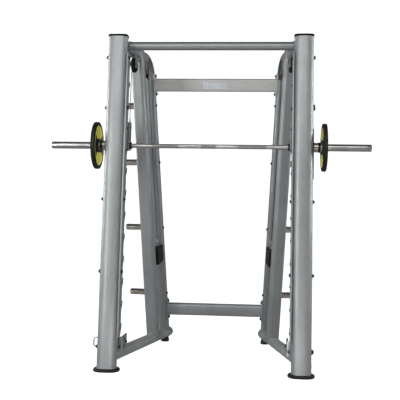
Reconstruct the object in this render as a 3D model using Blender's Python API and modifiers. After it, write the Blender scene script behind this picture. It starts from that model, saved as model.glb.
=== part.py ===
"""Smith machine: two toed-in side frames, an angled guide rod behind each post,
a counterbalanced bar with locking hooks, storage horns and adjustable stops.

Metres, Z up, X across the machine, the user stands at -Y.  The origin is the
middle of the footprint on the floor.
"""
import math

import bmesh
import bpy
from mathutils import Matrix, Vector

# overall size
TOP_HEIGHT = 2.264
POST_HALF_SPACING = 0.635
FRAME_SHIFT_Y = -0.6515
LEAN = math.radians(5.0)
TOE = math.radians(11.4)
SIDE_PLANE_X = 0.664
GAP = 0.0003
WALL = 0.003

# front posts and their caps and pads
POST_WIDTH = 0.132
POST_DEPTH = 0.104
POST_CORNER = 0.045
PAD_HEIGHT = 0.020
PAD_OVERHANG = 0.022
CAP_HEIGHT = 0.008
CAP_PLUG = 0.025

# base tubes and rear feet
BASE_RADIUS = 0.040
BASE_AXIS_Z = 0.072
BASE_END = 1.400
BASE_DOME = 0.016
REAR_FOOT_RADIUS = 0.034
REAR_FOOT_S = 1.300

# front strut, rear strut and the arch that joins the rear strut to the post
FRONT_STRUT_WIDTH = 0.092
FRONT_STRUT_DEPTH = 0.082
FRONT_STRUT_FOOT_S = 1.027
FRONT_STRUT_SLOPE = 0.220
STRUT_CORNER = 0.020
REAR_STRUT_WIDTH = 0.070
REAR_STRUT_DEPTH = 0.072
REAR_STRUT_FOOT_S = 1.306
REAR_STRUT_SLOPE = 0.235
ARCH_TOP_Z = 2.240
ARCH_RADIUS = 0.164

# cross-members
CROSS_HEIGHT = 0.098
CROSS_DEPTH = 0.050
CROSS_CORNER = 0.016
CROSS_Z = {"upper": 2.028, "lower": 0.276}
CROSS_PLATE_HEIGHT = 0.168
CROSS_PLATE_WIDTH = 0.056
CROSS_PLATE_THICKNESS = 0.008
PULL_UP_RADIUS = 0.0295
PULL_UP_Y = 0.280
PULL_UP_Z = 2.2085
PULL_UP_FLANGE_RADIUS = 0.0345
VENT_RADIUS = 0.012

# storage horns
HORN_RADIUS = 0.0245
HORN_LENGTH = 0.235
HORN_FLANGE_RADIUS = 0.034
HORN_Z = (0.406, 0.935, 1.445, 1.876)

# bar, sleeves, plates
BAR_HEIGHT = 1.507
BAR_BEHIND_POST = 0.119
BAR_RADIUS = 0.0150
BAR_LENGTH = 2.200
SLEEVE_RADIUS = 0.0245
SLEEVE_START = 0.7120
COLLAR_RADIUS = 0.0330
COLLAR_END = 0.7400
WASHER_RADIUS = 0.0350
WASHER_END = 0.7560
PLATE_CENTRE = 0.7820
PLATE_THICKNESS = 0.030
PLATE_RADIUS = 0.1635
PLATE_BORE_RADIUS = 0.0253

# rack with hook teeth, on the inner face of each post
RACK_NEAR = 0.0663
RACK_THICKNESS = 0.0090
RACK_FRONT = -0.040
RACK_REAR = 0.055
TOOTH_REACH = 0.090
TOOTH_PITCH = 0.150
TEETH_BELOW_BAR = 8
TEETH_ABOVE_BAR = 4
TOOTH_LIP = 0.012
TOOTH_ROOT = 0.062

# guide rod, its brackets, and the linear bearing of the carriage
ROD_RADIUS = 0.0125
ROD_BEHIND_POST = 0.082
ROD_BOTTOM = 0.1160
ROD_TOP = 2.1500
BRACKET_HEIGHT = 0.016
BRACKET_HALF_WIDTH = 0.030
BRACKET_REAR = 0.108
BEARING_RADIUS = 0.020
BEARING_LENGTH = 0.118

# carriage
CHEEK_INNER = 0.0785
CHEEK_OUTER = -0.0450
CHEEK_THICKNESS = 0.005
CARRIAGE_FRONT = 0.074
CARRIAGE_REAR = 0.154
CARRIAGE_TOP = 0.165
CARRIAGE_BOTTOM = -0.032
CARRIAGE_WALL = 0.008
BEARING_BARREL_RADIUS = 0.0235
BEARING_BARREL_BOTTOM = 0.028

# hook plate that locks the bar on the rack
HOOK_HUB_RADIUS = 0.0240
HOOK_THICKNESS = 0.0080
HOOK_REACH = 0.055
HOOK_HALF_HEIGHT = 0.0070
HOOK_SWING = math.radians(80.0)

# pulleys, cable and counterweight
PULLEY_RADIUS = 0.052
PULLEY_GROOVE_RADIUS = 0.046
PULLEY_WIDTH = 0.016
PULLEY_BORE = 0.0063
PULLEY_Z = 2.100
FRONT_PULLEY_S = 0.4250
REAR_PULLEY_S = 0.6640
CABLE_OFFSET = 0.020
CABLE_RADIUS = 0.0025
WEIGHT_LINE_S = 1.1780
WEIGHT_LINE_SLOPE = 0.2275
WEIGHT_Z = 0.722
WEIGHT_DEPTH = 0.136
WEIGHT_WIDTH = 0.058
WEIGHT_HEIGHT = 0.132
WEIGHT_CORNER = 0.012

# adjustable stops
STOP_BOTTOM = 0.1350
STOP_TOP = 0.2050
STOP_PLATE_BOTTOM = 0.1180
STOP_PLATE_TOP = 0.2150
STOP_PLATE_NEAR = 0.0800
STOP_PLATE_THICKNESS = 0.010
STOP_REAR = 0.220
HANDLE_RADIUS = 0.0045
HANDLE_BEHIND_POST = 0.098

CIRCLE = 24
PULLEY_STEPS = 18
HORN_STEPS = 16
DISC_STEPS = 30
ARCH_STEPS = 8
CORNER_STEPS = 3
CUT_MARGIN = 0.05

for old in list(bpy.data.objects):
    bpy.data.objects.remove(old, do_unlink=True)

machine = bpy.data.collections.new("smith_machine")
cutters = bpy.data.collections.new("cutters")
bpy.context.scene.collection.children.link(machine)
bpy.context.scene.collection.children.link(cutters)

MATERIALS = {
    "silver_paint": ((0.46, 0.48, 0.50), 0.35, 0.75),
    "chrome": ((0.80, 0.80, 0.80), 0.12, 1.0),
    "zinc_plate": ((0.62, 0.63, 0.65), 0.30, 1.0),
    "black_rubber": ((0.018, 0.018, 0.018), 0.75, 0.0),
    "black_plastic": ((0.020, 0.020, 0.022), 0.45, 0.0),
    "bearing_steel": ((0.55, 0.56, 0.58), 0.25, 1.0),
    "cable_steel": ((0.22, 0.22, 0.23), 0.45, 0.8),
}


def piece_material(name, kind):
    """A material of its own for one piece."""
    colour, roughness, metallic = MATERIALS[kind]
    material = bpy.data.materials.new(name + "_" + kind)
    material.use_nodes = True
    shader = material.node_tree.nodes["Principled BSDF"]
    shader.inputs["Base Color"].default_value = (*colour, 1.0)
    shader.inputs["Roughness"].default_value = roughness
    shader.inputs["Metallic"].default_value = metallic
    return material


def side_name(base, side):
    return base + ("_left" if side < 0 else "_right")


def post_axis_y(z):
    """Y of the post's axis at height z."""
    return FRAME_SHIFT_Y + z * math.tan(LEAN)


def side_point(s, inward, z):
    """A point of the right side frame: s rearward along it, inward across it."""
    x = SIDE_PLANE_X - s * math.sin(TOE) - inward * math.cos(TOE)
    y = FRAME_SHIFT_Y + s * math.cos(TOE) - inward * math.sin(TOE)
    return Vector((x, y, z))


def post_point(inward, behind, z):
    """A point near the right post: inward and behind its axis, at height z."""
    return Vector((POST_HALF_SPACING - inward, post_axis_y(z) + behind, z))


def rounded_rectangle(width, depth, radius, steps=CORNER_STEPS):
    """Outline points of a rounded rectangle round the origin, anticlockwise."""
    points = []
    for quarter in range(4):
        sign_x = 1 if quarter in (0, 3) else -1
        sign_y = 1 if quarter in (0, 1) else -1
        centre_x = sign_x * (width / 2 - radius)
        centre_y = sign_y * (depth / 2 - radius)
        for step in range(steps + 1):
            angle = math.pi / 2 * (quarter + step / steps)
            points.append((centre_x + radius * math.cos(angle),
                           centre_y + radius * math.sin(angle)))
    return points


def circle_points(radius, count=CIRCLE):
    turn = 2 * math.pi / count
    return [(radius * math.cos(turn * i), radius * math.sin(turn * i)) for i in range(count)]


def loft(rings):
    """A closed solid through rings of equal point count."""
    mesh = bmesh.new()
    rows = [[mesh.verts.new(point) for point in ring] for ring in rings]
    count = len(rows[0])
    for low, high in zip(rows, rows[1:]):
        for i in range(count):
            j = (i + 1) % count
            mesh.faces.new((low[i], low[j], high[j], high[i]))
    mesh.faces.new(list(reversed(rows[0])))
    mesh.faces.new(rows[-1])
    bmesh.ops.recalc_face_normals(mesh, faces=mesh.faces)
    return mesh


def hollow_loft(outer, inner):
    """An open-ended tube between two sets of rings."""
    mesh = bmesh.new()
    outside = [[mesh.verts.new(point) for point in ring] for ring in outer]
    inside = [[mesh.verts.new(point) for point in ring] for ring in inner]
    count = len(outside[0])
    for rows in (outside, inside):
        for low, high in zip(rows, rows[1:]):
            for i in range(count):
                j = (i + 1) % count
                mesh.faces.new((low[i], low[j], high[j], high[i]))
    for end in (0, -1):
        for i in range(count):
            j = (i + 1) % count
            mesh.faces.new((outside[end][i], outside[end][j], inside[end][j], inside[end][i]))
    bmesh.ops.recalc_face_normals(mesh, faces=mesh.faces)
    return mesh


def add_object(name, mesh, origin, side, kind=None):
    """Put a right-hand mesh, given in world metres, on its own side."""
    origin = Vector(origin)
    if side < 0:
        bmesh.ops.transform(mesh, matrix=Matrix.Diagonal((-1, 1, 1, 1)), verts=mesh.verts)
        bmesh.ops.reverse_faces(mesh, faces=mesh.faces)
        origin.x = -origin.x
    bmesh.ops.translate(mesh, verts=mesh.verts, vec=-origin)
    data = bpy.data.meshes.new(name)
    mesh.to_mesh(data)
    mesh.free()
    obj = bpy.data.objects.new(name, data)
    obj.location = origin
    if kind is None:
        cutters.objects.link(obj)
        obj.hide_render = True
        obj.display_type = 'WIRE'
    else:
        machine.objects.link(obj)
        data.materials.append(piece_material(name, kind))
    return obj


def smooth(obj, angle=35.0):
    """Shade round faces smooth and keep the edges between flat ones."""
    for polygon in obj.data.polygons:
        polygon.use_smooth = True
    obj.data.set_sharp_from_angle(angle=math.radians(angle))


def boolean(obj, operation, other):
    modifier = obj.modifiers.new(operation.lower() + "_" + other.name, 'BOOLEAN')
    modifier.operation = operation
    modifier.solver = 'EXACT'
    modifier.object = other
    return modifier


def cut(obj, *tools):
    for tool in tools:
        boolean(obj, 'DIFFERENCE', tool)


def join(obj, *tools):
    for tool in tools:
        boolean(obj, 'UNION', tool)


def post_block(inward, behind, heights):
    """Block beside the right post that follows the post's lean."""
    rings = []
    for z in heights:
        rings.append([post_point(inward[0], behind[0], z), post_point(inward[1], behind[0], z),
                      post_point(inward[1], behind[1], z), post_point(inward[0], behind[1], z)])
    return loft(rings)


def turned(name, profile, origin, axis, kind, steps=CIRCLE, closed=False):
    """A turned piece from (radius, height) points; the height runs along axis."""
    data = bpy.data.meshes.new(name)
    points = [(radius, 0.0, height) for radius, height in profile]
    edges = [(i, i + 1) for i in range(len(points) - 1)]
    if closed:
        edges.append((len(points) - 1, 0))
    data.from_pydata(points, edges, [])
    obj = bpy.data.objects.new(name, data)
    if kind is None:
        cutters.objects.link(obj)
        obj.hide_render = True
        obj.display_type = 'WIRE'
    else:
        machine.objects.link(obj)
        data.materials.append(piece_material(name, kind))
    screw = obj.modifiers.new("turn", 'SCREW')
    screw.steps = steps
    screw.render_steps = steps
    screw.use_merge_vertices = True
    screw.merge_threshold = 0.00001
    obj.location = origin
    obj.rotation_euler = Vector((0, 0, 1)).rotation_difference(Vector(axis)).to_euler()
    return obj


def rod_cutter(name, start, end, radius, steps=CIRCLE):
    """Round bar between two points, for cutting or joining."""
    start, end = Vector(start), Vector(end)
    length = (end - start).length
    profile = [(0.0, length), (radius, length), (radius, 0.0), (0.0, 0.0)]
    return turned(name, profile, start, end - start, None, steps)


def on_side(point, side):
    return Vector((side * point.x, point.y, point.z))


def outline_rings(outline, heights, centre):
    """Level rings of an outline, centred at centre(z)."""
    return [[centre(z) + Vector((x, y, 0)) for x, y in outline] for z in heights]


def post_centre(z):
    return post_point(0.0, 0.0, z)


def level_centre(z):
    return Vector((POST_HALF_SPACING, FRAME_SHIFT_Y, z))


def sweep_rings(path, width, depth, radius):
    """Rings of a rounded section along (s, z) stations with travel directions."""
    rings = []
    for s, z, direction in path:
        across = (direction[1], -direction[0])
        ring = []
        for u, v in rounded_rectangle(width, depth, radius):
            ring.append(side_point(s + v * across[0], u, z + v * across[1]))
        rings.append(ring)
    return rings


def swept_tube(path, width, depth, radius):
    outer = sweep_rings(path, width, depth, radius)
    inner = sweep_rings(path, width - 2 * WALL, depth - 2 * WALL, radius - WALL)
    return hollow_loft(outer, inner)


def unit(s, z):
    length = math.hypot(s, z)
    return (s / length, z / length)


def strut_line(foot_s, slope, heights):
    direction = unit(-slope, 1.0)
    return [(foot_s - slope * z, z, direction) for z in heights]


def rear_strut_path():
    """Up the rear strut, round the arch and forward to the post."""
    direction = unit(-REAR_STRUT_SLOPE, 1.0)
    level_z = ARCH_TOP_Z - REAR_STRUT_DEPTH / 2
    centre_z = level_z - ARCH_RADIUS
    lean_angle = math.atan(REAR_STRUT_SLOPE)
    start_z = centre_z + ARCH_RADIUS * math.sin(lean_angle)
    start_s = REAR_STRUT_FOOT_S - REAR_STRUT_SLOPE * start_z
    centre_s = start_s - ARCH_RADIUS * math.cos(lean_angle)
    path = [(REAR_STRUT_FOOT_S - REAR_STRUT_SLOPE * BASE_AXIS_Z, BASE_AXIS_Z, direction)]
    for step in range(ARCH_STEPS + 1):
        angle = lean_angle + (math.pi / 2 - lean_angle) * step / ARCH_STEPS
        path.append((centre_s + ARCH_RADIUS * math.cos(angle),
                     centre_z + ARCH_RADIUS * math.sin(angle),
                     (-math.sin(angle), math.cos(angle))))
    post_s = (post_axis_y(level_z) - FRAME_SHIFT_Y) / math.cos(TOE)
    path.append((post_s, level_z, (-1.0, 0.0)))
    return path


def front_strut_top():
    """Height where the front strut stops, under the arch."""
    return ARCH_TOP_Z - REAR_STRUT_DEPTH - GAP


def weight_line(z):
    """s of the counterweight's path at height z."""
    return WEIGHT_LINE_S - WEIGHT_LINE_SLOPE * z


def strut_inner_point(z):
    """Middle of the rear strut's inner face."""
    return side_point(REAR_STRUT_FOOT_S - REAR_STRUT_SLOPE * z, REAR_STRUT_WIDTH / 2, z)


def side_direction(s, inward, z):
    return side_point(s, inward, z) - side_point(0, 0, 0)


def build_post(side):
    outline = rounded_rectangle(POST_WIDTH, POST_DEPTH, POST_CORNER, 6)
    bore = rounded_rectangle(POST_WIDTH - 2 * WALL, POST_DEPTH - 2 * WALL, POST_CORNER - WALL, 6)
    heights = (PAD_HEIGHT + GAP, TOP_HEIGHT - CAP_HEIGHT - GAP)
    tube = hollow_loft(outline_rings(outline, heights, post_centre),
                       outline_rings(bore, heights, post_centre))
    post = add_object(side_name("post", side), tube, post_centre(0), side, "silver_paint")
    smooth(post)

    plug = rounded_rectangle(POST_WIDTH - 2 * WALL - 0.001, POST_DEPTH - 2 * WALL - 0.001,
                             POST_CORNER - WALL, 6)
    under = TOP_HEIGHT - CAP_HEIGHT
    rim = 0.0015
    slim = rounded_rectangle(POST_WIDTH - 2 * rim, POST_DEPTH - 2 * rim, POST_CORNER - rim, 6)
    rings = outline_rings(plug, (under - CAP_PLUG, under), post_centre)
    rings += outline_rings(outline, (under, TOP_HEIGHT - rim), post_centre)
    rings += outline_rings(slim, (TOP_HEIGHT,), post_centre)
    cap = add_object(side_name("post_cap", side), loft(rings), post_centre(under), side,
                     "black_plastic")
    smooth(cap)

    def pad_outline(grow):
        return rounded_rectangle(POST_WIDTH + 2 * grow, POST_DEPTH + 2 * grow,
                                 POST_CORNER + grow, 6)

    rings = outline_rings(pad_outline(PAD_OVERHANG - 0.004), (0.0,), level_centre)
    rings += outline_rings(pad_outline(PAD_OVERHANG), (0.004, 0.013), level_centre)
    rings += outline_rings(pad_outline(PAD_OVERHANG - 0.006), (PAD_HEIGHT,), level_centre)
    pad = add_object(side_name("foot_pad", side), loft(rings), level_centre(0), side,
                     "black_rubber")
    smooth(pad)

    grown = rounded_rectangle(POST_WIDTH + 2 * GAP, POST_DEPTH + 2 * GAP, POST_CORNER + GAP, 6)
    heights = (-CUT_MARGIN, TOP_HEIGHT + CUT_MARGIN)
    solid = loft(outline_rings(grown, heights, post_centre))
    return add_object(side_name("post_space", side), solid, post_centre(0), side)


def build_base(side, post_space):
    def ring(s, radius):
        return [side_point(s, a, BASE_AXIS_Z + b) for a, b in circle_points(radius)]

    bore = BASE_RADIUS - WALL
    rings = [ring(0.0, BASE_RADIUS), ring(BASE_END - BASE_DOME, BASE_RADIUS)]
    for share in (0.45, 0.8, 1.0):
        drop = BASE_RADIUS * (1 - 0.42 * share ** 2.5)
        rings.append(ring(BASE_END - BASE_DOME + BASE_DOME * share ** 0.6, drop))
    solid = loft(rings)
    base = add_object(side_name("base_tube", side), solid, side_point(0.7, 0, BASE_AXIS_Z),
                      side, "silver_paint")
    hollow = add_object(side_name("base_bore", side),
                        loft([ring(-CUT_MARGIN, bore), ring(BASE_END - 2 * BASE_DOME, bore)]),
                        side_point(0, 0, BASE_AXIS_Z), side)
    cut(base, hollow, post_space)
    smooth(base)
    around = add_object(side_name("base_space", side),
                        loft([ring(0.0, BASE_RADIUS + GAP), ring(BASE_END, BASE_RADIUS + GAP)]),
                        side_point(0, 0, BASE_AXIS_Z), side)

    foot_point = on_side(side_point(REAR_FOOT_S, 0, 0), side)
    crown = 0.046
    profile = [(0.0, crown), (0.028, crown), (0.030, 0.030), (REAR_FOOT_RADIUS, 0.022),
               (REAR_FOOT_RADIUS, 0.004), (REAR_FOOT_RADIUS - 0.004, 0.0), (0.0, 0.0)]
    foot = turned(side_name("rear_foot", side), profile, foot_point, (0, 0, 1), "black_rubber")
    cut(foot, around)
    smooth(foot)
    return around


def build_struts(side, post_space, base_space):
    top = front_strut_top()
    low_path = strut_line(FRONT_STRUT_FOOT_S, FRONT_STRUT_SLOPE, (BASE_AXIS_Z, top + CUT_MARGIN))
    tube = swept_tube(low_path, FRONT_STRUT_WIDTH, FRONT_STRUT_DEPTH, STRUT_CORNER)
    front = add_object(side_name("front_strut", side), tube,
                       side_point(FRONT_STRUT_FOOT_S, 0, 0), side, "silver_paint")
    lid_ring = [(-0.2, -0.2), (0.2, -0.2), (0.2, 0.2), (-0.2, 0.2)]
    lid_s = FRONT_STRUT_FOOT_S - FRONT_STRUT_SLOPE * top
    lid = loft([[side_point(lid_s + a, b, z) for a, b in lid_ring] for z in (top, top + 0.2)])
    lid_cutter = add_object(side_name("strut_top_cut", side), lid, side_point(lid_s, 0, top), side)
    cable_z = PULLEY_Z + PULLEY_GROOVE_RADIUS + CABLE_RADIUS
    slot = rod_cutter(side_name("cable_hole", side),
                      on_side(side_point(FRONT_PULLEY_S, CABLE_OFFSET, cable_z), side),
                      on_side(side_point(REAR_PULLEY_S, CABLE_OFFSET, cable_z), side),
                      CABLE_RADIUS + 0.005, 16)
    cut(front, base_space, lid_cutter, slot)
    smooth(front)

    rear = add_object(side_name("rear_strut", side),
                      swept_tube(rear_strut_path(), REAR_STRUT_WIDTH, REAR_STRUT_DEPTH,
                                 STRUT_CORNER - 0.003),
                      side_point(REAR_STRUT_FOOT_S, 0, 0), side, "silver_paint")
    cut(rear, base_space, post_space)
    smooth(rear)


def build_horns(side):
    outward = on_side(side_direction(0, -1, 0), side)
    for number, z in enumerate(HORN_Z, 1):
        seat = side_point(REAR_STRUT_FOOT_S - REAR_STRUT_SLOPE * z,
                          -REAR_STRUT_WIDTH / 2 - GAP, z)
        profile = [(0.0, HORN_LENGTH), (HORN_RADIUS - 0.003, HORN_LENGTH),
                   (HORN_RADIUS, HORN_LENGTH - 0.003), (HORN_RADIUS, 0.006),
                   (HORN_FLANGE_RADIUS, 0.006), (HORN_FLANGE_RADIUS, 0.0), (0.0, 0.0)]
        horn = turned(side_name("storage_horn_%d" % number, side), profile,
                      on_side(seat, side), outward, "chrome", HORN_STEPS)
        smooth(horn)


def build_rack(side):
    """Flat bar on the post's inner face with a saw-tooth rear edge."""
    outline = []
    bottom = BAR_HEIGHT - TEETH_BELOW_BAR * TOOTH_PITCH - 0.085
    top = BAR_HEIGHT + TEETH_ABOVE_BAR * TOOTH_PITCH + 0.030
    outline.append((RACK_FRONT, bottom))
    outline.append((RACK_REAR, bottom))
    for number in range(-TEETH_BELOW_BAR, TEETH_ABOVE_BAR + 1):
        seat = BAR_HEIGHT + number * TOOTH_PITCH - HOOK_HALF_HEIGHT - GAP
        outline.append((RACK_REAR, seat - TOOTH_ROOT))
        outline.append((TOOTH_REACH - 0.010, seat - TOOTH_LIP - 0.016))
        outline.append((TOOTH_REACH, seat - TOOTH_LIP))
        outline.append((TOOTH_REACH, seat - 0.003))
        outline.append((TOOTH_REACH - 0.003, seat))
        outline.append((RACK_REAR + 0.004, seat))
        outline.append((RACK_REAR, seat + 0.004))
    outline.append((RACK_REAR, top))
    outline.append((RACK_FRONT, top))
    rings = [[post_point(inward, behind, z) for behind, z in outline]
             for inward in (RACK_NEAR, RACK_NEAR + RACK_THICKNESS)]
    add_object(side_name("rack_plate", side), loft(rings),
               post_point(RACK_NEAR, 0, BAR_HEIGHT), side, "silver_paint")


def build_guide(side, post_space):
    ends = [on_side(post_point(0, ROD_BEHIND_POST, z), side) for z in (ROD_BOTTOM, ROD_TOP)]
    length = (ends[1] - ends[0]).length
    chamfer = 0.002
    profile = [(0.0, length), (ROD_RADIUS - chamfer, length), (ROD_RADIUS, length - chamfer),
               (ROD_RADIUS, chamfer), (ROD_RADIUS - chamfer, 0.0), (0.0, 0.0)]
    rod = turned(side_name("guide_rod", side), profile, ends[0], ends[1] - ends[0], "chrome", 24)
    smooth(rod)

    clearance = rod_cutter(side_name("rod_space", side),
                           on_side(post_point(0, ROD_BEHIND_POST, 0), side),
                           on_side(post_point(0, ROD_BEHIND_POST, TOP_HEIGHT), side),
                           ROD_RADIUS + GAP, 24)
    places = {"top": ROD_TOP - 0.005 - BRACKET_HEIGHT, "bottom": ROD_BOTTOM + 0.001}
    for place, z in places.items():
        block = post_block((-BRACKET_HALF_WIDTH, BRACKET_HALF_WIDTH), (0.0, BRACKET_REAR),
                           (z, z + BRACKET_HEIGHT))
        bracket = add_object(side_name("rod_bracket_" + place, side), block,
                             post_point(0, ROD_BEHIND_POST, z), side, "silver_paint")
        cut(bracket, post_space, clearance)


def build_carriage(side):
    """Box-shaped carriage with a bearing barrel over the bar."""
    def at(value):
        return BAR_HEIGHT + value

    outer = (CHEEK_OUTER, CHEEK_OUTER + CHEEK_THICKNESS)
    inner = (CHEEK_INNER, CHEEK_INNER + CHEEK_THICKNESS)
    inset = 0.001
    wall_front = CARRIAGE_REAR - CARRIAGE_WALL
    name = side_name("carriage", side)
    origin = post_point(0, ROD_BEHIND_POST, BAR_HEIGHT)
    shell = [(outer[0], CARRIAGE_FRONT), (outer[0], CARRIAGE_REAR), (inner[1], CARRIAGE_REAR),
             (inner[1], CARRIAGE_FRONT), (inner[0], CARRIAGE_FRONT), (inner[0], wall_front),
             (outer[1], wall_front), (outer[1], CARRIAGE_FRONT)]
    rings = [[post_point(inward, behind, at(height)) for inward, behind in shell]
             for height in (CARRIAGE_BOTTOM, CARRIAGE_TOP)]
    body = add_object(name, loft(rings), origin, side, "zinc_plate")
    roof_low = at(CARRIAGE_TOP - CARRIAGE_WALL)
    roof_high = at(CARRIAGE_TOP)
    roof = add_object(name + "_roof",
                      post_block((outer[0] + inset, 0.030), (0.056, CARRIAGE_REAR - inset),
                                 (roof_low - inset, roof_high - inset)), origin, side)
    bridge = add_object(name + "_bridge",
                        post_block((0.0, inner[1] - inset), (0.096, CARRIAGE_REAR - 2 * inset),
                                   (roof_low, roof_high - 2 * inset)), origin, side)
    ear = add_object(name + "_cable_ear",
                     post_block((CABLE_X_INWARD - 0.009, CABLE_X_INWARD + 0.009),
                                (CARRIAGE_REAR - 0.003, CABLE_BEHIND_POST + 0.012),
                                (at(CARRIAGE_TOP - 0.022), at(CARRIAGE_TOP) - inset / 2)),
                     origin, side)

    def rod_at(height):
        return on_side(post_point(0, ROD_BEHIND_POST, at(height)), side)

    barrel = rod_cutter(name + "_barrel", rod_at(BEARING_BARREL_BOTTOM),
                        rod_at(CARRIAGE_TOP - 0.004), BEARING_BARREL_RADIUS)
    web = add_object(name + "_web",
                     post_block((outer[0] + 2 * inset, 0.0),
                                (ROD_BEHIND_POST - 0.006, ROD_BEHIND_POST + 0.006),
                                (at(BEARING_BARREL_BOTTOM + 0.005), at(CARRIAGE_TOP - 0.003))),
                     origin, side)
    join(body, roof, bridge, ear, barrel, web)
    seat_low = CARRIAGE_TOP - 0.006 - BEARING_LENGTH
    bearing_seat = rod_cutter(name + "_bearing_seat", rod_at(seat_low), rod_at(CARRIAGE_TOP + 0.05),
                              BEARING_RADIUS + GAP)
    rod_way = rod_cutter(name + "_rod_way", rod_at(-0.1), rod_at(CARRIAGE_TOP + 0.05),
                         ROD_RADIUS + 0.0015, 24)
    middle = post_point(0, BAR_BEHIND_POST, BAR_HEIGHT)
    bar_way = rod_cutter(name + "_bar_way", on_side(middle + Vector((0.1, 0, 0)), side),
                         on_side(middle - Vector((0.2, 0, 0)), side), BAR_RADIUS + GAP)
    cut(body, bearing_seat, rod_way, bar_way)

    low, high = rod_at(seat_low + GAP), rod_at(CARRIAGE_TOP - 0.006)
    span = (high - low).length
    bore = ROD_RADIUS + GAP
    profile = [(bore, span), (BEARING_RADIUS, span), (BEARING_RADIUS, 0.0), (bore, 0.0)]
    bearing = turned(side_name("linear_bearing", side), profile, low, high - low,
                     "bearing_steel", 24, closed=True)
    smooth(bearing)


def build_hook(side):
    """Hub round the bar with a finger, swung up clear of the rack teeth.

    Turned back through HOOK_SWING, the finger lies level on a tooth.
    """
    outline = []
    finger_half = math.asin(HOOK_HALF_HEIGHT / HOOK_HUB_RADIUS)
    steps = 20
    for step in range(steps + 1):
        angle = math.pi + finger_half + (2 * math.pi - 2 * finger_half) * step / steps
        outline.append((HOOK_HUB_RADIUS * math.cos(angle), HOOK_HUB_RADIUS * math.sin(angle)))
    outline.append((-HOOK_REACH + 0.004, HOOK_HALF_HEIGHT))
    outline.append((-HOOK_REACH, HOOK_HALF_HEIGHT - 0.004))
    outline.append((-HOOK_REACH, -HOOK_HALF_HEIGHT + 0.002))
    outline.append((-HOOK_REACH + 0.002, -HOOK_HALF_HEIGHT))
    centre = post_point(0, BAR_BEHIND_POST, BAR_HEIGHT)
    near = RACK_NEAR + (RACK_THICKNESS - HOOK_THICKNESS) / 2
    swing_cos, swing_sin = math.cos(HOOK_SWING), math.sin(HOOK_SWING)
    swung = [(y * swing_cos + z * swing_sin, z * swing_cos - y * swing_sin) for y, z in outline]
    rings = [[centre + Vector((-inward, y, z)) for y, z in swung]
             for inward in (near, near + HOOK_THICKNESS)]
    hook = add_object(side_name("bar_hook", side), loft(rings), centre, side, "zinc_plate")
    bore = rod_cutter(side_name("hook_bore", side), on_side(centre, side),
                      on_side(centre - Vector((0.2, 0, 0)), side), BAR_RADIUS + GAP)
    cut(hook, bore)
    smooth(hook)


def bar_centre():
    return Vector((0, post_axis_y(BAR_HEIGHT) + BAR_BEHIND_POST, BAR_HEIGHT))


def build_bar():
    half = BAR_LENGTH / 2 - 0.004
    groove_half = 0.405
    groove = 0.0008
    profile = [(0.0, half), (BAR_RADIUS - 0.001, half), (BAR_RADIUS, half - 0.001)]
    for place in (groove_half, -groove_half):
        profile += [(BAR_RADIUS, place + 0.0035), (BAR_RADIUS - groove, place + 0.0025),
                    (BAR_RADIUS - groove, place - 0.0025), (BAR_RADIUS, place - 0.0035)]
    profile += [(BAR_RADIUS, -half + 0.001), (BAR_RADIUS - 0.001, -half), (0.0, -half)]
    bar = turned("lift_bar", profile, bar_centre(), (1, 0, 0), "chrome")
    smooth(bar)


def build_bar_end(side):
    outward = Vector((side, 0, 0))
    centre = bar_centre() + outward * SLEEVE_START
    bore = BAR_RADIUS + GAP
    end = BAR_LENGTH / 2 - SLEEVE_START
    collar = COLLAR_END - SLEEVE_START
    washer = WASHER_END - SLEEVE_START
    profile = [(0.0, end), (SLEEVE_RADIUS - 0.003, end), (SLEEVE_RADIUS, end - 0.003),
               (SLEEVE_RADIUS, washer), (WASHER_RADIUS, washer), (WASHER_RADIUS, collar),
               (COLLAR_RADIUS, collar), (COLLAR_RADIUS, 0.0), (bore, 0.0), (bore, end - 0.003),
               (0.0, end - 0.003)]
    sleeve = turned(side_name("bar_sleeve", side), profile, centre, outward, "chrome")
    smooth(sleeve)

    half = PLATE_THICKNESS / 2
    dish = 0.006
    hub = 0.045
    lip = PLATE_RADIUS - 0.030
    profile = [(PLATE_BORE_RADIUS, half - 0.002), (hub, half - 0.002), (hub + 0.006, half - dish),
               (lip - 0.006, half - dish), (lip, half), (PLATE_RADIUS - 0.006, half),
               (PLATE_RADIUS, half - 0.006), (PLATE_RADIUS, -half + 0.006),
               (PLATE_RADIUS - 0.006, -half), (lip, -half), (lip - 0.006, -half + dish),
               (hub + 0.006, -half + dish), (hub, -half + 0.002),
               (PLATE_BORE_RADIUS, -half + 0.002)]
    plate = turned(side_name("weight_plate", side), profile,
                   bar_centre() + outward * PLATE_CENTRE, outward, "black_rubber",
                   DISC_STEPS, closed=True)
    smooth(plate)


def pulley_profile():
    half = PULLEY_WIDTH / 2
    hub = 0.012
    web = 0.003
    rim = PULLEY_GROOVE_RADIUS - 0.008
    return [(PULLEY_BORE, half), (hub, half), (hub, web), (rim, web), (rim, half),
            (PULLEY_RADIUS, half), (PULLEY_GROOVE_RADIUS, 0.0015),
            (PULLEY_GROOVE_RADIUS, -0.0015), (PULLEY_RADIUS, -half), (rim, -half),
            (rim, -web), (hub, -web), (hub, -half), (PULLEY_BORE, -half)]


def build_pulleys(side):
    inward = on_side(side_direction(0, 1, 0), side)
    for place, s in (("front", FRONT_PULLEY_S), ("rear", REAR_PULLEY_S)):
        centre = on_side(side_point(s, CABLE_OFFSET, PULLEY_Z), side)
        pulley = turned(side_name(place + "_pulley", side), pulley_profile(), centre, inward,
                        "black_plastic", PULLEY_STEPS, closed=True)
        smooth(pulley)
        hanger_parts(side, place, s)


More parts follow.
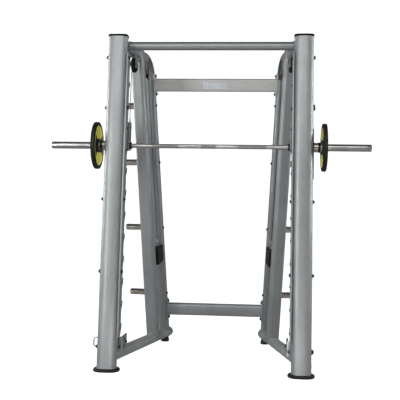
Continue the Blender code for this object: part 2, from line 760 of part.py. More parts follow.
def hanger_parts(side, place, s):
    """Two cheeks under the arch with the pulley's axle between them."""
    top = ARCH_TOP_Z - REAR_STRUT_DEPTH - GAP
    cheek_gap = PULLEY_WIDTH / 2 + 0.002
    thickness = 0.004
    half = 0.019
    head_s = s if place == "front" else s - 0.022
    name = side_name(place + "_pulley_hanger", side)
    origin = side_point(s, CABLE_OFFSET, top)

    def slab(low_inward, high_inward, low_z, high_z, low_half, high_half, low_s=head_s):
        rings = []
        for z, reach, middle in ((low_z, low_half, low_s), (high_z, high_half, head_s)):
            rings.append([side_point(middle - reach, low_inward, z),
                          side_point(middle + reach, low_inward, z),
                          side_point(middle + reach, high_inward, z),
                          side_point(middle - reach, high_inward, z)])
        return loft(rings)

    low = PULLEY_Z - 0.016
    near = CABLE_OFFSET - cheek_gap
    far = CABLE_OFFSET + cheek_gap
    body = add_object(name, slab(near - thickness, far + thickness, top - 0.005, top, half, half),
                      origin, side, "zinc_plate")
    inset = 0.0005
    cheek_a = add_object(name + "_cheek_a",
                         slab(near - thickness + inset, near, low, top - 0.001, 0.012,
                              half - inset, s), origin, side)
    cheek_b = add_object(name + "_cheek_b",
                         slab(far, far + thickness - inset, low, top - 0.001, 0.012,
                              half - inset, s), origin, side)
    axle = rod_cutter(name + "_axle",
                      on_side(side_point(s, near - thickness - 0.004, PULLEY_Z), side),
                      on_side(side_point(s, far + thickness + 0.004, PULLEY_Z), side),
                      PULLEY_BORE - GAP, 16)
    join(body, cheek_a, cheek_b, axle)


def build_cable(side):
    """Whole cable: up from the carriage, over both pulleys, down to the weight."""
    radius = PULLEY_GROOVE_RADIUS + CABLE_RADIUS + GAP
    front_angle = math.pi - math.atan(math.tan(LEAN) * math.cos(TOE))
    rear_angle = math.atan(WEIGHT_LINE_SLOPE)
    stations = []
    steps = 7
    for step in range(steps + 1):
        angle = front_angle + (math.pi / 2 - front_angle) * step / steps
        stations.append((FRONT_PULLEY_S + radius * math.cos(angle),
                         PULLEY_Z + radius * math.sin(angle)))
    for step in range(steps + 1):
        angle = math.pi / 2 + (rear_angle - math.pi / 2) * step / steps
        stations.append((REAR_PULLEY_S + radius * math.cos(angle),
                         PULLEY_Z + radius * math.sin(angle)))
    points = [side_point(s, CABLE_OFFSET, z) for s, z in stations]
    leave = points[0]
    drop = leave.z - (BAR_HEIGHT + CARRIAGE_TOP + GAP)
    foot = Vector((leave.x, leave.y - drop * math.tan(LEAN), leave.z - drop))
    top_of_weight = weight_top()
    points = [foot] + points + [top_of_weight]
    curve = bpy.data.curves.new(side_name("lift_cable", side), 'CURVE')
    curve.dimensions = '3D'
    curve.bevel_depth = CABLE_RADIUS
    curve.bevel_resolution = 2
    curve.use_fill_caps = True
    spline = curve.splines.new('POLY')
    spline.points.add(len(points) - 1)
    for target, point in zip(spline.points, points):
        target.co = (*on_side(point, side), 1.0)
    cable = bpy.data.objects.new(curve.name, curve)
    machine.objects.link(cable)
    curve.materials.append(piece_material(cable.name, "cable_steel"))


def cable_leave_point():
    """Where the cable leaves the front pulley for the carriage."""
    angle = math.pi - math.atan(math.tan(LEAN) * math.cos(TOE))
    radius = PULLEY_GROOVE_RADIUS + CABLE_RADIUS + GAP
    return side_point(FRONT_PULLEY_S + radius * math.cos(angle), CABLE_OFFSET,
                      PULLEY_Z + radius * math.sin(angle))


LEAVE = cable_leave_point()
CABLE_X_INWARD = POST_HALF_SPACING - LEAVE.x
CABLE_BEHIND_POST = LEAVE.y - post_axis_y(LEAVE.z)


def cable_rear_line(z):
    """s of the cable's rear run at height z."""
    radius = PULLEY_GROOVE_RADIUS + CABLE_RADIUS + GAP
    angle = math.atan(WEIGHT_LINE_SLOPE)
    start_s = REAR_PULLEY_S + radius * math.cos(angle)
    start_z = PULLEY_Z + radius * math.sin(angle)
    return start_s + (start_z - z) * WEIGHT_LINE_SLOPE


def weight_top():
    direction = unit(-WEIGHT_LINE_SLOPE, 1.0)
    reach = WEIGHT_HEIGHT / 2 + 0.020 + GAP
    z = WEIGHT_Z + direction[1] * reach
    return side_point(cable_rear_line(z), CABLE_OFFSET, z)


def build_counterweight(side):
    direction = unit(-WEIGHT_LINE_SLOPE, 1.0)
    across = (direction[1], -direction[0])
    centre_s = weight_line(WEIGHT_Z)

    def ring(along, shrink):
        outline = rounded_rectangle(WEIGHT_DEPTH - 2 * shrink, WEIGHT_WIDTH - 2 * shrink,
                                    WEIGHT_CORNER - shrink)
        return [side_point(centre_s + across[0] * a + direction[0] * along, CABLE_OFFSET - b,
                           WEIGHT_Z + across[1] * a + direction[1] * along)
                for a, b in outline]

    half = WEIGHT_HEIGHT / 2
    rings = [ring(-half, 0.004), ring(-half + 0.004, 0.0), ring(half - 0.004, 0.0),
             ring(half, 0.004)]
    weight = add_object(side_name("counterweight", side), loft(rings),
                        side_point(centre_s, CABLE_OFFSET, WEIGHT_Z), side, "black_rubber")
    top = weight_top()
    along = Vector(on_side(side_direction(direction[0], 0, direction[1]), side)).normalized()
    stud_top = on_side(top, side) - along * GAP
    stud = rod_cutter(side_name("weight_stud", side), stud_top - along * 0.045, stud_top, 0.008, 16)
    join(weight, stud)


def build_stop(side):
    name = side_name("stop_block", side)
    origin = post_point(0, ROD_BEHIND_POST, STOP_BOTTOM)
    web_behind = (0.112, 0.132)
    inset = 0.001
    core = add_object(name, post_block((-0.030, 0.030), (0.057, web_behind[1]),
                                       (STOP_BOTTOM, STOP_TOP)), origin, side, "zinc_plate")
    web = add_object(name + "_web",
                     post_block((0.0, STOP_PLATE_NEAR + 0.004),
                                (web_behind[0], web_behind[1] - inset),
                                (STOP_BOTTOM + inset, STOP_TOP - inset)), origin, side)
    plate = add_object(name + "_plate",
                       post_block((STOP_PLATE_NEAR, STOP_PLATE_NEAR + STOP_PLATE_THICKNESS),
                                  (0.060, STOP_REAR), (STOP_PLATE_BOTTOM, STOP_PLATE_TOP)),
                       origin, side)
    if side < 0:
        pull = d_handle(name + "_handle", STOP_BOTTOM + 0.006, STOP_TOP - 0.006)
    else:
        pull = pull_knob(name + "_knob", STOP_BOTTOM + 0.015)
    join(core, web, plate, pull)
    bore = rod_cutter(name + "_bore", on_side(post_point(0, ROD_BEHIND_POST, 0), side),
                      on_side(post_point(0, ROD_BEHIND_POST, 0.4), side), ROD_RADIUS + GAP, 24)
    cut(core, bore)

    buffer_top = STOP_TOP + GAP + 0.018
    shape = rounded_rectangle(0.050, 0.024, 0.008)
    rings = []
    for z, shrink in ((STOP_TOP + GAP, 0.0), (buffer_top - 0.003, 0.0), (buffer_top, 0.003)):
        scale_x = (0.050 - 2 * shrink) / 0.050
        scale_y = (0.024 - 2 * shrink) / 0.024
        centre = post_point(0.0, 0.1185, z)
        rings.append([centre + Vector((x * scale_x, y * scale_y, 0)) for x, y in shape])
    pad = add_object(side_name("stop_buffer", side), loft(rings),
                     post_point(0, 0.1185, STOP_TOP), side, "black_rubber")
    smooth(pad)


def d_handle(name, low, high):
    """D-shaped pull on the outer side of the left stop."""
    start = -0.024
    reach = -0.112
    bend = 0.014
    steps = 4
    bottom = []
    for step in range(steps + 1):
        angle = math.pi / 2 * step / steps
        bottom.append((reach + bend - bend * math.sin(angle), low + bend - bend * math.cos(angle),
                       angle))
    route = [(start, low, 0.0)] + bottom
    route += [(inward, low + high - z, math.pi - angle) for inward, z, angle in reversed(bottom)]
    route.append((start, high, math.pi))
    rings = []
    for inward, z, angle in route:
        centre = post_point(inward, HANDLE_BEHIND_POST, z)
        across = Vector((math.sin(angle), 0, -math.cos(angle)))
        rings.append([centre + across * a + Vector((0, b, 0))
                      for a, b in circle_points(HANDLE_RADIUS, 12)])
    return add_object(name, loft(rings), post_point(0, HANDLE_BEHIND_POST, low), -1)


def pull_knob(name, z):
    """Round pull knob on the outer side of the right stop."""
    seat = post_point(-0.026, HANDLE_BEHIND_POST, z)
    profile = [(0.0, 0.062), (0.007, 0.062), (0.011, 0.058), (0.011, 0.048), (0.006, 0.044),
               (0.006, 0.0), (0.0, 0.0)]
    return turned(name, profile, seat, (1, 0, 0), None, 20)


def build_cross_members():
    for place, z in CROSS_Z.items():
        end = strut_inner_point(z)
        slope = math.atan(REAR_STRUT_SLOPE)
        outline = rounded_rectangle(CROSS_DEPTH, CROSS_HEIGHT, CROSS_CORNER)
        bore = rounded_rectangle(CROSS_DEPTH - 2 * WALL, CROSS_HEIGHT - 2 * WALL,
                                 CROSS_CORNER - WALL)

        def section(x, points):
            ring = []
            for a, b in points:
                ring.append(Vector((x, end.y + a * math.cos(slope) - b * math.sin(slope),
                                    z + a * math.sin(slope) + b * math.cos(slope))))
            return ring

        reach = end.x - 0.004
        tube = hollow_loft([section(-reach, outline), section(reach, outline)],
                           [section(-reach, bore), section(reach, bore)])
        name = place + "_cross_member"
        member = add_object(name, tube, Vector((0, end.y, z)), 1, "silver_paint")
        plates = []
        trims = []
        for side in (-1, 1):
            plate_shape = rounded_rectangle(CROSS_PLATE_WIDTH, CROSS_PLATE_HEIGHT, 0.010)

            def face(inward, points):
                direction = unit(-REAR_STRUT_SLOPE, 1.0)
                across = (direction[1], -direction[0])
                base_s = REAR_STRUT_FOOT_S - REAR_STRUT_SLOPE * z
                return [side_point(base_s + a * across[0] + b * direction[0],
                                   REAR_STRUT_WIDTH / 2 + inward,
                                   z + a * across[1] + b * direction[1]) for a, b in points]

            plates.append(add_object(side_name(name + "_plate", side),
                                     loft([face(-CROSS_PLATE_THICKNESS / 2, plate_shape),
                                           face(GAP + CROSS_PLATE_THICKNESS, plate_shape)]),
                                     end, side))
            trim_shape = [(-0.2, -0.2), (0.2, -0.2), (0.2, 0.2), (-0.2, 0.2)]
            trims.append(add_object(side_name(name + "_trim", side),
                                    loft([face(GAP, trim_shape), face(-0.2, trim_shape)]),
                                    end, side))
        vent = rod_cutter(name + "_vent", (-POST_HALF_SPACING, end.y, z),
                          (POST_HALF_SPACING, end.y, z), VENT_RADIUS, 16)
        join(member, *plates)
        cut(member, *trims, vent)
        smooth(member)


def build_pull_up_bar():
    centre_y = FRAME_SHIFT_Y + PULL_UP_Y
    reach = POST_HALF_SPACING

    def section(x, radius):
        return [Vector((x, centre_y + a, PULL_UP_Z + b)) for a, b in circle_points(radius)]

    tube = hollow_loft([section(-reach, PULL_UP_RADIUS), section(reach, PULL_UP_RADIUS)],
                       [section(-reach, PULL_UP_RADIUS - WALL), section(reach, PULL_UP_RADIUS - WALL)])
    bar = add_object("pull_up_bar", tube, Vector((0, centre_y, PULL_UP_Z)), 1, "silver_paint")
    flanges = []
    trims = []
    face = REAR_STRUT_WIDTH / 2 + GAP
    s = (PULL_UP_Y + face * math.sin(TOE)) / math.cos(TOE)
    for side in (-1, 1):
        seat = side_point(s, face, PULL_UP_Z)
        flanges.append(rod_cutter(side_name("pull_up_flange", side),
                                  on_side(side_point(s, face - 0.004, PULL_UP_Z), side),
                                  on_side(side_point(s, face + 0.008, PULL_UP_Z), side),
                                  PULL_UP_FLANGE_RADIUS))
        corners = [(-0.15, -0.15), (0.15, -0.15), (0.15, 0.15), (-0.15, 0.15)]
        rings = [[side_point(s + a, depth, PULL_UP_Z + b) for a, b in corners]
                 for depth in (face, face - 0.2)]
        trims.append(add_object(side_name("pull_up_trim", side), loft(rings), seat, side))
    vent = rod_cutter("pull_up_vent", (-POST_HALF_SPACING - CUT_MARGIN, centre_y, PULL_UP_Z),
                      (POST_HALF_SPACING + CUT_MARGIN, centre_y, PULL_UP_Z), VENT_RADIUS, 16)
    join(bar, *flanges)
    cut(bar, *trims, vent)
    smooth(bar)


for machine_side in (-1, 1):
    space = build_post(machine_side)
    base = build_base(machine_side, space)
    build_struts(machine_side, space, base)
    build_horns(machine_side)
    build_rack(machine_side)
    build_guide(machine_side, space)
    build_carriage(machine_side)
    build_hook(machine_side)
    build_bar_end(machine_side)
    build_pulleys(machine_side)
    build_cable(machine_side)
    build_counterweight(machine_side)
    build_stop(machine_side)
build_bar()
build_cross_members()
build_pull_up_bar()
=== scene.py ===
import math

import bmesh
import bpy
from mathutils import Matrix, Vector


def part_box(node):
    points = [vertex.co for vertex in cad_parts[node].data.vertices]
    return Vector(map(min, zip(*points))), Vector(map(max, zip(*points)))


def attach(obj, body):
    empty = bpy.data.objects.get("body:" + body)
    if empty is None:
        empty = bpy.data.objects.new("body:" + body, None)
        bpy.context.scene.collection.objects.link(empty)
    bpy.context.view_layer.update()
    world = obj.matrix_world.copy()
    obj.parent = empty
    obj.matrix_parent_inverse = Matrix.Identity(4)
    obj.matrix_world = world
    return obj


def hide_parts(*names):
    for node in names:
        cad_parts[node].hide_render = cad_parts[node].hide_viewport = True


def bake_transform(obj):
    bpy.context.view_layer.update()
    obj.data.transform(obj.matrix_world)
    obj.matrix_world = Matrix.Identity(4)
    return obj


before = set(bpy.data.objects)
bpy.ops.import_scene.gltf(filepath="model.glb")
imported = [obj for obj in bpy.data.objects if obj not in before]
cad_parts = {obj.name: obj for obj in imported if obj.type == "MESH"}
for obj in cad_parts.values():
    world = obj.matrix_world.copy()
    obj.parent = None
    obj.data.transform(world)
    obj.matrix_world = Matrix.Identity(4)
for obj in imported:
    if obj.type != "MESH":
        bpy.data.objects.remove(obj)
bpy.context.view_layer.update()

# ---------------------------------------------------------------- dimensions
# Metres, repeated from the CAD design: X across, Y rearward, Z up. The side frames
# are toed in, so their points are given as s, rearward along the frame from its
# front, and inward, across it. A post's points are given inward of and behind its axis.
POST_X = 0.635
POST_HALF_WIDTH = 0.066
POST_HALF_DEPTH = 0.052
SHIFT_Y = -0.6515
LEAN = math.radians(5.0)
TOE = math.radians(11.4)
SIDE_X = 0.664
RACK_INNER = 0.0753
BAR_Z = 1.507
BAR_BEHIND = 0.119
TOOTH_PITCH = 0.150
PULLEY_Z = 2.100
FRONT_PULLEY_S = 0.4250
REAR_PULLEY_S = 0.6640
PULLEY_RADIUS = 0.052
PULLEY_HALF = 0.008
GROOVE_RADIUS = 0.046
CABLE_OFFSET = 0.020
CABLE_RADIUS = 0.0025
CABLE_BEND = GROOVE_RADIUS + CABLE_RADIUS + 0.0003
WEIGHT_SLOPE = 0.2275
WEIGHT_S = 1.1780
WEIGHT_Z = 0.722
REAR_STRUT_S = 1.306
REAR_STRUT_SLOPE = 0.235
REAR_STRUT_HALF = 0.035
FRONT_STRUT_S = 1.027
FRONT_STRUT_SLOPE = 0.220
ARCH_S = 0.6582
ARCH_Z = 2.040
ARCH_RADIUS = 0.164
HORN_Z = (0.406, 0.935, 1.445, 1.876)
HORN_RADIUS = 0.0245
HORN_LENGTH = 0.235
CROSS_Z = {"upper": 2.028, "lower": 0.276}
PLATE_X = 0.782
PLATE_RADIUS = 0.1635
PLATE_HALF = 0.015
PLATE_BORE = 0.0253
BAR_RADIUS = 0.0150
BAR_HALF = 1.100
SLEEVE_RADIUS = 0.0245
SLEEVE_START = 0.7120
COLLAR_END = 0.7400
FLANGE_END = 0.7560
SIDES = {"left": -1, "right": 1}


def post_point(side, inward, behind, z):
    """A point near a post: inward and behind its leaning axis, at height z."""
    return Vector((side * (POST_X - inward), SHIFT_Y + z * math.tan(LEAN) + behind, z))


def side_point(side, s, inward, z):
    """A point of a toed-in side frame: s rearward along it, inward across it."""
    x = SIDE_X - s * math.sin(TOE) - inward * math.cos(TOE)
    y = SHIFT_Y + s * math.cos(TOE) - inward * math.sin(TOE)
    return Vector((side * x, y, z))


def outward_of(side):
    """Unit vector straight out from a post."""
    return Vector((side, 0, 0))


def inward_of(side):
    """Unit vector across a toed-in side frame, towards the middle."""
    return Vector((-side * math.cos(TOE), -math.sin(TOE), 0))


def rear_strut_point(side, inward, z):
    """A point on the middle line of a rear strut, moved inward across it."""
    return side_point(side, REAR_STRUT_S - REAR_STRUT_SLOPE * z, inward, z)


BAR_CENTRE = Vector((0, post_point(1, 0, BAR_BEHIND, BAR_Z).y, BAR_Z))


# ----------------------------------------------------------------- materials
class Surface:
    """A procedural material, with short calls for the nodes that it is built from."""

    def __init__(self, name, colour, metallic, roughness):
        self.material = bpy.data.materials.new(name)
        self.material.use_nodes = True
        self.nodes = self.material.node_tree.nodes
        self.links = self.material.node_tree.links
        self.shader = self.nodes["Principled BSDF"].inputs
        self.set("Base Color", (*colour, 1))
        self.set("Metallic", metallic)
        self.set("Roughness", roughness)
        self.place = self.add("TexCoord", "Object", {})

    def set(self, socket, value):
        self.shader[socket].default_value = value

    def add(self, kind, output, inputs, **settings):
        """New node, with each input linked or set, and one of its outputs returned."""
        node = self.nodes.new("ShaderNode" + kind)
        for setting, value in settings.items():
            setattr(node, setting, value)
        for socket, value in inputs.items():
            if isinstance(value, bpy.types.NodeSocket):
                self.links.new(value, node.inputs[socket])
            else:
                node.inputs[socket].default_value = value
        return node.outputs[output]

    def noise(self, scale, detail, stretch=None):
        """Noise over object coordinates, stretched along axes if asked."""
        place = self.place
        if stretch:
            place = self.add("Mapping", "Vector", {"Vector": place, "Scale": stretch})
        return self.add("TexNoise", "Fac", {"Vector": place, "Scale": scale, "Detail": detail})

    def mix(self, factor, a, b):
        return self.add("Mix", "Result", {"Factor": factor, "A": a, "B": b})

    def maths(self, operation, *values):
        return self.add("Math", "Value", dict(enumerate(values)), operation=operation)

    def spread(self, value, low, high, start=0.3, end=0.7):
        """Map start to end onto low to high."""
        return self.add("MapRange", "Result", {"Value": value, "From Min": start,
                                               "From Max": end, "To Min": low, "To Max": high})

    def colour(self, value, dark, light, start, end):
        """Base colour from dark to light as value goes from start to end."""
        ramp = self.nodes.new("ShaderNodeValToRGB")
        tones = ramp.color_ramp.elements
        tones[0].position, tones[0].color = start, (*dark, 1)
        tones[1].position, tones[1].color = end, (*light, 1)
        self.links.new(value, ramp.inputs["Fac"])
        self.links.new(ramp.outputs["Color"], self.shader["Base Color"])

    def roughness(self, value, low, high):
        self.links.new(self.spread(value, low, high), self.shader["Roughness"])

    def bump(self, *layers):
        """Stack bump layers of (height, strength, distance)."""
        below = {}
        for height, strength, distance in layers:
            inputs = {"Height": height, "Strength": strength, "Distance": distance, **below}
            below = {"Normal": self.add("Bump", "Normal", inputs)}
        self.links.new(below["Normal"], self.shader["Normal"])


def silver_paint(name, dark, light, metallic=0.50):
    """Satin metallic powder coat: fine flakes, slow mottling and orange peel."""
    paint = Surface(name, light, metallic, 0.48)
    flakes = paint.noise(900, 1)
    paint.colour(paint.mix(0.35, flakes, paint.noise(5, 3)), dark, light, 0.32, 0.68)
    paint.roughness(paint.noise(30, 4), 0.44, 0.54)
    paint.set("Coat Weight", 0.25)
    paint.set("Coat Roughness", 0.22)
    paint.bump((paint.noise(260, 2), 0.10, 0.0003), (flakes, 0.05, 0.0001))
    return paint.material


def polished_steel(name, dark, light, rough, stretch=(1, 1, 60), marks=0.05):
    """Plated steel with fine drawn marks across the stretch."""
    steel = Surface(name, light, 1.0, rough[0])
    drawn = steel.noise(40, 4, stretch)
    steel.colour(steel.noise(9, 4), dark, light, 0.30, 0.60)
    steel.roughness(drawn, *rough)
    steel.bump((drawn, marks, 0.0002))
    return steel.material


def zinc(name, dark, light, rough=(0.28, 0.48)):
    """Zinc plating with its soft crystal patches."""
    plating = Surface(name, light, 0.95, rough[0])
    crystals = plating.add("TexVoronoi", "Distance", {"Vector": plating.place, "Scale": 130})
    tint = plating.noise(24, 4)
    plating.colour(plating.mix(0.65, crystals, tint), dark, light, 0.25, 0.65)
    plating.roughness(tint, *rough)
    plating.bump((plating.noise(400, 3), 0.12, 0.0002))
    return plating.material


def moulded(name, dark, light, rough, grain, depth, coat=0.0, specular=0.5):
    """Rubber, plastic or textured coating with a moulded grain and a little dust."""
    skin = Surface(name, light, 0.0, rough[0])
    dust = skin.noise(14, 5)
    skin.colour(dust, dark, light, 0.35, 0.75)
    skin.roughness(dust, *rough)
    skin.set("Coat Weight", coat)
    skin.set("Coat Roughness", 0.3)
    skin.set("Specular IOR Level", specular)
    skin.bump((skin.noise(grain, 3), 0.25, depth))
    return skin.material


def knurled_steel(name, dark, light):
    """Diamond knurling of the bar, cut by two crossed helical grooves."""
    teeth = 56.0
    steel = Surface(name, light, 1.0, 0.34)
    place = {axis: steel.add("SeparateXYZ", axis, {"Vector": steel.place}) for axis in "XYZ"}
    angle = steel.maths('ARCTAN2', steel.maths('SUBTRACT', place["Z"], BAR_CENTRE.z),
                        steel.maths('SUBTRACT', place["Y"], BAR_CENTRE.y))
    round_bar = steel.maths('MULTIPLY', angle, teeth)
    along_bar = steel.maths('MULTIPLY', place["X"], teeth / BAR_RADIUS)
    grooves = [steel.maths('SINE', steel.maths(crossing, round_bar, along_bar))
               for crossing in ('ADD', 'SUBTRACT')]
    diamonds = steel.maths('MINIMUM', *grooves)
    # grooves coloured darker than the diamond tops: painted shade in the grooves
    steel.colour(steel.spread(diamonds, 0, 1, -1, 0.8), dark, light, 0.1, 0.9)
    steel.roughness(steel.noise(60, 3), 0.28, 0.44)
    steel.bump((diamonds, 0.9, 0.00035))
    return steel.material


def twisted_cable(name):
    """Black nylon over twisted wire: the strands show as slanted ridges."""
    nylon = Surface(name, (0.02, 0.02, 0.02), 0.0, 0.4)
    strands = nylon.add("TexWave", "Fac", {"Vector": nylon.place, "Scale": 160,
                                           "Distortion": 0.4},
                        wave_type='BANDS', bands_direction='DIAGONAL')
    nylon.colour(strands, (0.010, 0.010, 0.011), (0.045, 0.045, 0.048), 0.2, 0.9)
    nylon.roughness(strands, 0.55, 0.32)
    nylon.bump((strands, 0.6, 0.0004))
    return nylon.material


PAINT = silver_paint("silver_paint", (0.30, 0.318, 0.322), (0.44, 0.460, 0.462))
# Darker copy of the frame paint for the struts: painted shade, as they stand further back and face
# away from the lamps.
PAINT_SHADE = silver_paint("silver_paint_struts_painted_shade", (0.25, 0.266, 0.272), (0.38, 0.400, 0.406))
# Darker still for the rear struts: painted shade where the front struts shade them.
PAINT_REAR_SHADED = silver_paint("silver_paint_rear_painted_shade", (0.20, 0.215, 0.224), (0.31, 0.330, 0.340))
# Lighter copy of the frame paint for the upper cross-member: painted light on its front face.
PAINT_LIT = silver_paint("silver_paint_upper_painted_light", (0.53, 0.525, 0.51), (0.72, 0.715, 0.695),
                           0.25)
# Darker, more metallic copy of the frame paint for the pull-up bar: the darker tone is painted
# shade.
PAINT_TUBE_SHADED = silver_paint("silver_paint_tube_painted_shade", (0.26, 0.276, 0.282), (0.40, 0.420, 0.424), 0.72)
CHROME = polished_steel("chrome", (0.42, 0.415, 0.40), (0.60, 0.595, 0.58), (0.29, 0.35),
                        (1, 60, 60), 0.01)
ROD_CHROME = polished_steel("rod_chrome", (0.50, 0.50, 0.50), (0.70, 0.70, 0.70), (0.10, 0.20),
                            (60, 60, 1))
HORN_CHROME = polished_steel("horn_chrome", (0.50, 0.45, 0.38), (0.78, 0.74, 0.68), (0.14, 0.24),
                             (1, 40, 40))
# Steel tinted bronze for the sleeve's collar ring: painted reflection of the surroundings.
REFLECTION_TINTED_STEEL = polished_steel("steel_painted_bronze_reflection", (0.40, 0.29, 0.17), (0.58, 0.47, 0.34), (0.16, 0.30),
                            (1, 60, 60))
BRASS = polished_steel("brass", (0.36, 0.20, 0.07), (0.66, 0.42, 0.16), (0.18, 0.34))
KNURL = knurled_steel("knurled_grip", (0.30, 0.295, 0.28), (0.62, 0.61, 0.59))
ZINC = zinc("zinc_plate", (0.20, 0.205, 0.21), (0.46, 0.47, 0.48))
BOLT_STEEL = zinc("bolt_black_oxide", (0.020, 0.020, 0.022), (0.085, 0.085, 0.090), (0.30, 0.45))
RUBBER = moulded("black_rubber", (0.004, 0.004, 0.0045), (0.010, 0.010, 0.0105), (0.58, 0.76),
                 340, 0.0006)
PLASTIC = moulded("black_plastic", (0.004, 0.004, 0.0045), (0.010, 0.010, 0.011), (0.38, 0.52),
                  520, 0.0003, coat=0.05)
CAP_BLACK = moulded("cap_black", (0.003, 0.003, 0.003), (0.006, 0.006, 0.006), (0.72, 0.85),
                    420, 0.0003, specular=0.2)
BLACK_COAT = moulded("black_coat", (0.003, 0.003, 0.0033), (0.008, 0.008, 0.0085), (0.50, 0.64),
                     620, 0.0006, specular=0.3)
LABEL = moulded("pale_label", (0.66, 0.70, 0.74), (0.80, 0.84, 0.88), (0.30, 0.40),
                200, 0.0002, coat=0.3)
YELLOW = moulded("yellow_inlay_with_painted_glow", (0.86, 0.80, 0.05), (0.96, 0.92, 0.10), (0.34, 0.48),
                 300, 0.0004, coat=0.2)
# the inlay glows a little, though it is no lamp: painted light that brightens the yellow
glow = YELLOW.node_tree.nodes["Principled BSDF"].inputs
glow["Emission Color"].default_value = (0.90, 0.84, 0.08, 1)
glow["Emission Strength"].default_value = 0.15
CABLE = twisted_cable("coated_cable")


# -------------------------------------------------------------- mesh helpers
def basis(axis):
    """Rotation that takes Z to axis."""
    return Vector((0, 0, 1)).rotation_difference(Vector(axis)).to_matrix()


def add_lathe(mesh, profile, origin, axis, steps, closed=False):
    """Turn (radius, height) points about axis into mesh."""
    turn = basis(axis)
    rings = []
    for radius, height in profile:
        count = 1 if radius < 1e-6 else steps
        ring = []
        for i in range(count):
            angle = 2 * math.pi * i / steps
            spoke = Vector((radius * math.cos(angle), radius * math.sin(angle), height))
            ring.append(mesh.verts.new(origin + turn @ spoke))
        rings.append(ring)
    pairs = list(zip(rings, rings[1:]))
    if closed:
        pairs.append((rings[-1], rings[0]))
    for low, high in pairs:
        for i in range(steps):
            j = i + 1
            corners = [low[i % len(low)], low[j % len(low)], high[j % len(high)],
                       high[i % len(high)]]
            unique = list(dict.fromkeys(corners))
            if len(unique) > 2:
                mesh.faces.new(unique)


def loft(mesh, rows):
    """Skin a stack of matching rings of points, and close both ends."""
    rings = [[mesh.verts.new(point) for point in row] for row in rows]
    count = len(rings[0])
    for low, high in zip(rings, rings[1:]):
        for i in range(count):
            j = (i + 1) % count
            mesh.faces.new((low[i], low[j], high[j], high[i]))
    mesh.faces.new(rings[0][::-1])
    mesh.faces.new(rings[-1])


def add_prism(mesh, outline, origin, axis, height, chamfer, spin=0.0):
    """Extrude an outline along axis, with a chamfer at the far end."""
    turn = basis(axis) @ Matrix.Rotation(spin, 3, 'Z')
    reach = max(math.hypot(x, y) for x, y in outline)
    levels = ((1.0, 0.0), (1.0, height - chamfer), (1 - chamfer / reach, height))
    loft(mesh, [[origin + turn @ Vector((x * scale, y * scale, level)) for x, y in outline]
                for scale, level in levels])


def hexagon(across_flats):
    return arc(across_flats / math.sqrt(3), 0, 300, 5)


def add_bolt(mesh, point, axis, size, tail):
    """Hex nut of the given thread size on its washer, with the bolt's end past it."""
    washer = 0.18 * size
    outer, edge = 1.15 * size, 0.08 * size
    add_lathe(mesh, [(0, 0), (outer - edge, 0), (outer, edge), (outer, washer - edge),
                     (outer - edge, washer), (0, washer)], point, axis, 24)
    add_prism(mesh, hexagon(1.7 * size), point + axis * washer, axis, 0.66 * size, 0.12 * size,
              spin=0.2)
    add_lathe(mesh, [(0, 0), (0.48 * size, 0), (0.48 * size, tail - 0.1 * size),
                     (0.38 * size, tail), (0, tail)],
              point + axis * (washer + 0.6 * size), axis, 16)


def add_button_bolt(mesh, point, axis, size):
    """Low round-headed screw with a socket."""
    head, height, socket = 0.95 * size, 0.55 * size, 0.32 * size
    profile = [(0, 0), (head, 0)]
    for step in range(1, 6):
        angle = math.pi / 2 * step / 6
        profile.append((head * math.cos(angle), height * math.sin(angle)))
    profile += [(socket, height), (socket * 0.96, height * 0.35), (0, height * 0.3)]
    add_lathe(mesh, profile, point, axis, 24)


def add_cable(mesh, points, steps=12):
    """Round cable through points, kept square to its route."""
    rows = []
    across = None
    for index, point in enumerate(points):
        before = points[max(index - 1, 0)]
        after = points[min(index + 1, len(points) - 1)]
        travel = (after - before).normalized()
        if across is None:
            across = travel.orthogonal().normalized()
        else:
            across = (across - travel * across.dot(travel)).normalized()
        other = travel.cross(across)
        rows.append([point + across * x + other * y
                     for x, y in arc(CABLE_RADIUS, 0, 360, steps)[:-1]])
    loft(mesh, rows)


def arc(radius, start, end, steps):
    """Points of an arc; angles in degrees."""
    angles = [math.radians(start + (end - start) * i / steps) for i in range(steps + 1)]
    return [(radius * math.cos(angle), radius * math.sin(angle)) for angle in angles]


def rounded_outline(points, radius, steps=5):
    """Round the corners of a closed outline, each to its own quadratic curve."""
    out = []
    count = len(points)
    for i in range(count):
        corner = Vector(points[i])
        before, after = Vector(points[i - 1]), Vector(points[(i + 1) % count])
        cut = min(radius, (before - corner).length * 0.45, (after - corner).length * 0.45)
        start = corner + (before - corner).normalized() * cut
        end = corner + (after - corner).normalized() * cut
        if (before - corner).angle(after - corner) > math.radians(160):
            out.append(tuple(corner))
            continue
        for step in range(steps + 1):
            t = step / steps
            point = start * (1 - t) ** 2 + corner * (2 * t * (1 - t)) + end * t ** 2
            out.append(tuple(point))
    return out


def rounded_rectangle(width, depth, radius, steps=6):
    points = []
    for quarter, (sign_x, sign_y) in enumerate(((1, 1), (-1, 1), (-1, -1), (1, -1))):
        for x, y in arc(radius, 90 * quarter, 90 * quarter + 90, steps):
            points.append((sign_x * (width / 2 - radius) + x,
                           sign_y * (depth / 2 - radius) + y))
    return points


def oval_outline(half_x, half_y, power=2.5, count=96):
    """Superellipse outline of the posts and their caps."""
    points = []
    for c, s in arc(1, 0, 360, count)[:-1]:
        points.append((half_x * math.copysign(abs(c) ** (2 / power), c),
                       half_y * math.copysign(abs(s) ** (2 / power), s)))
    return points


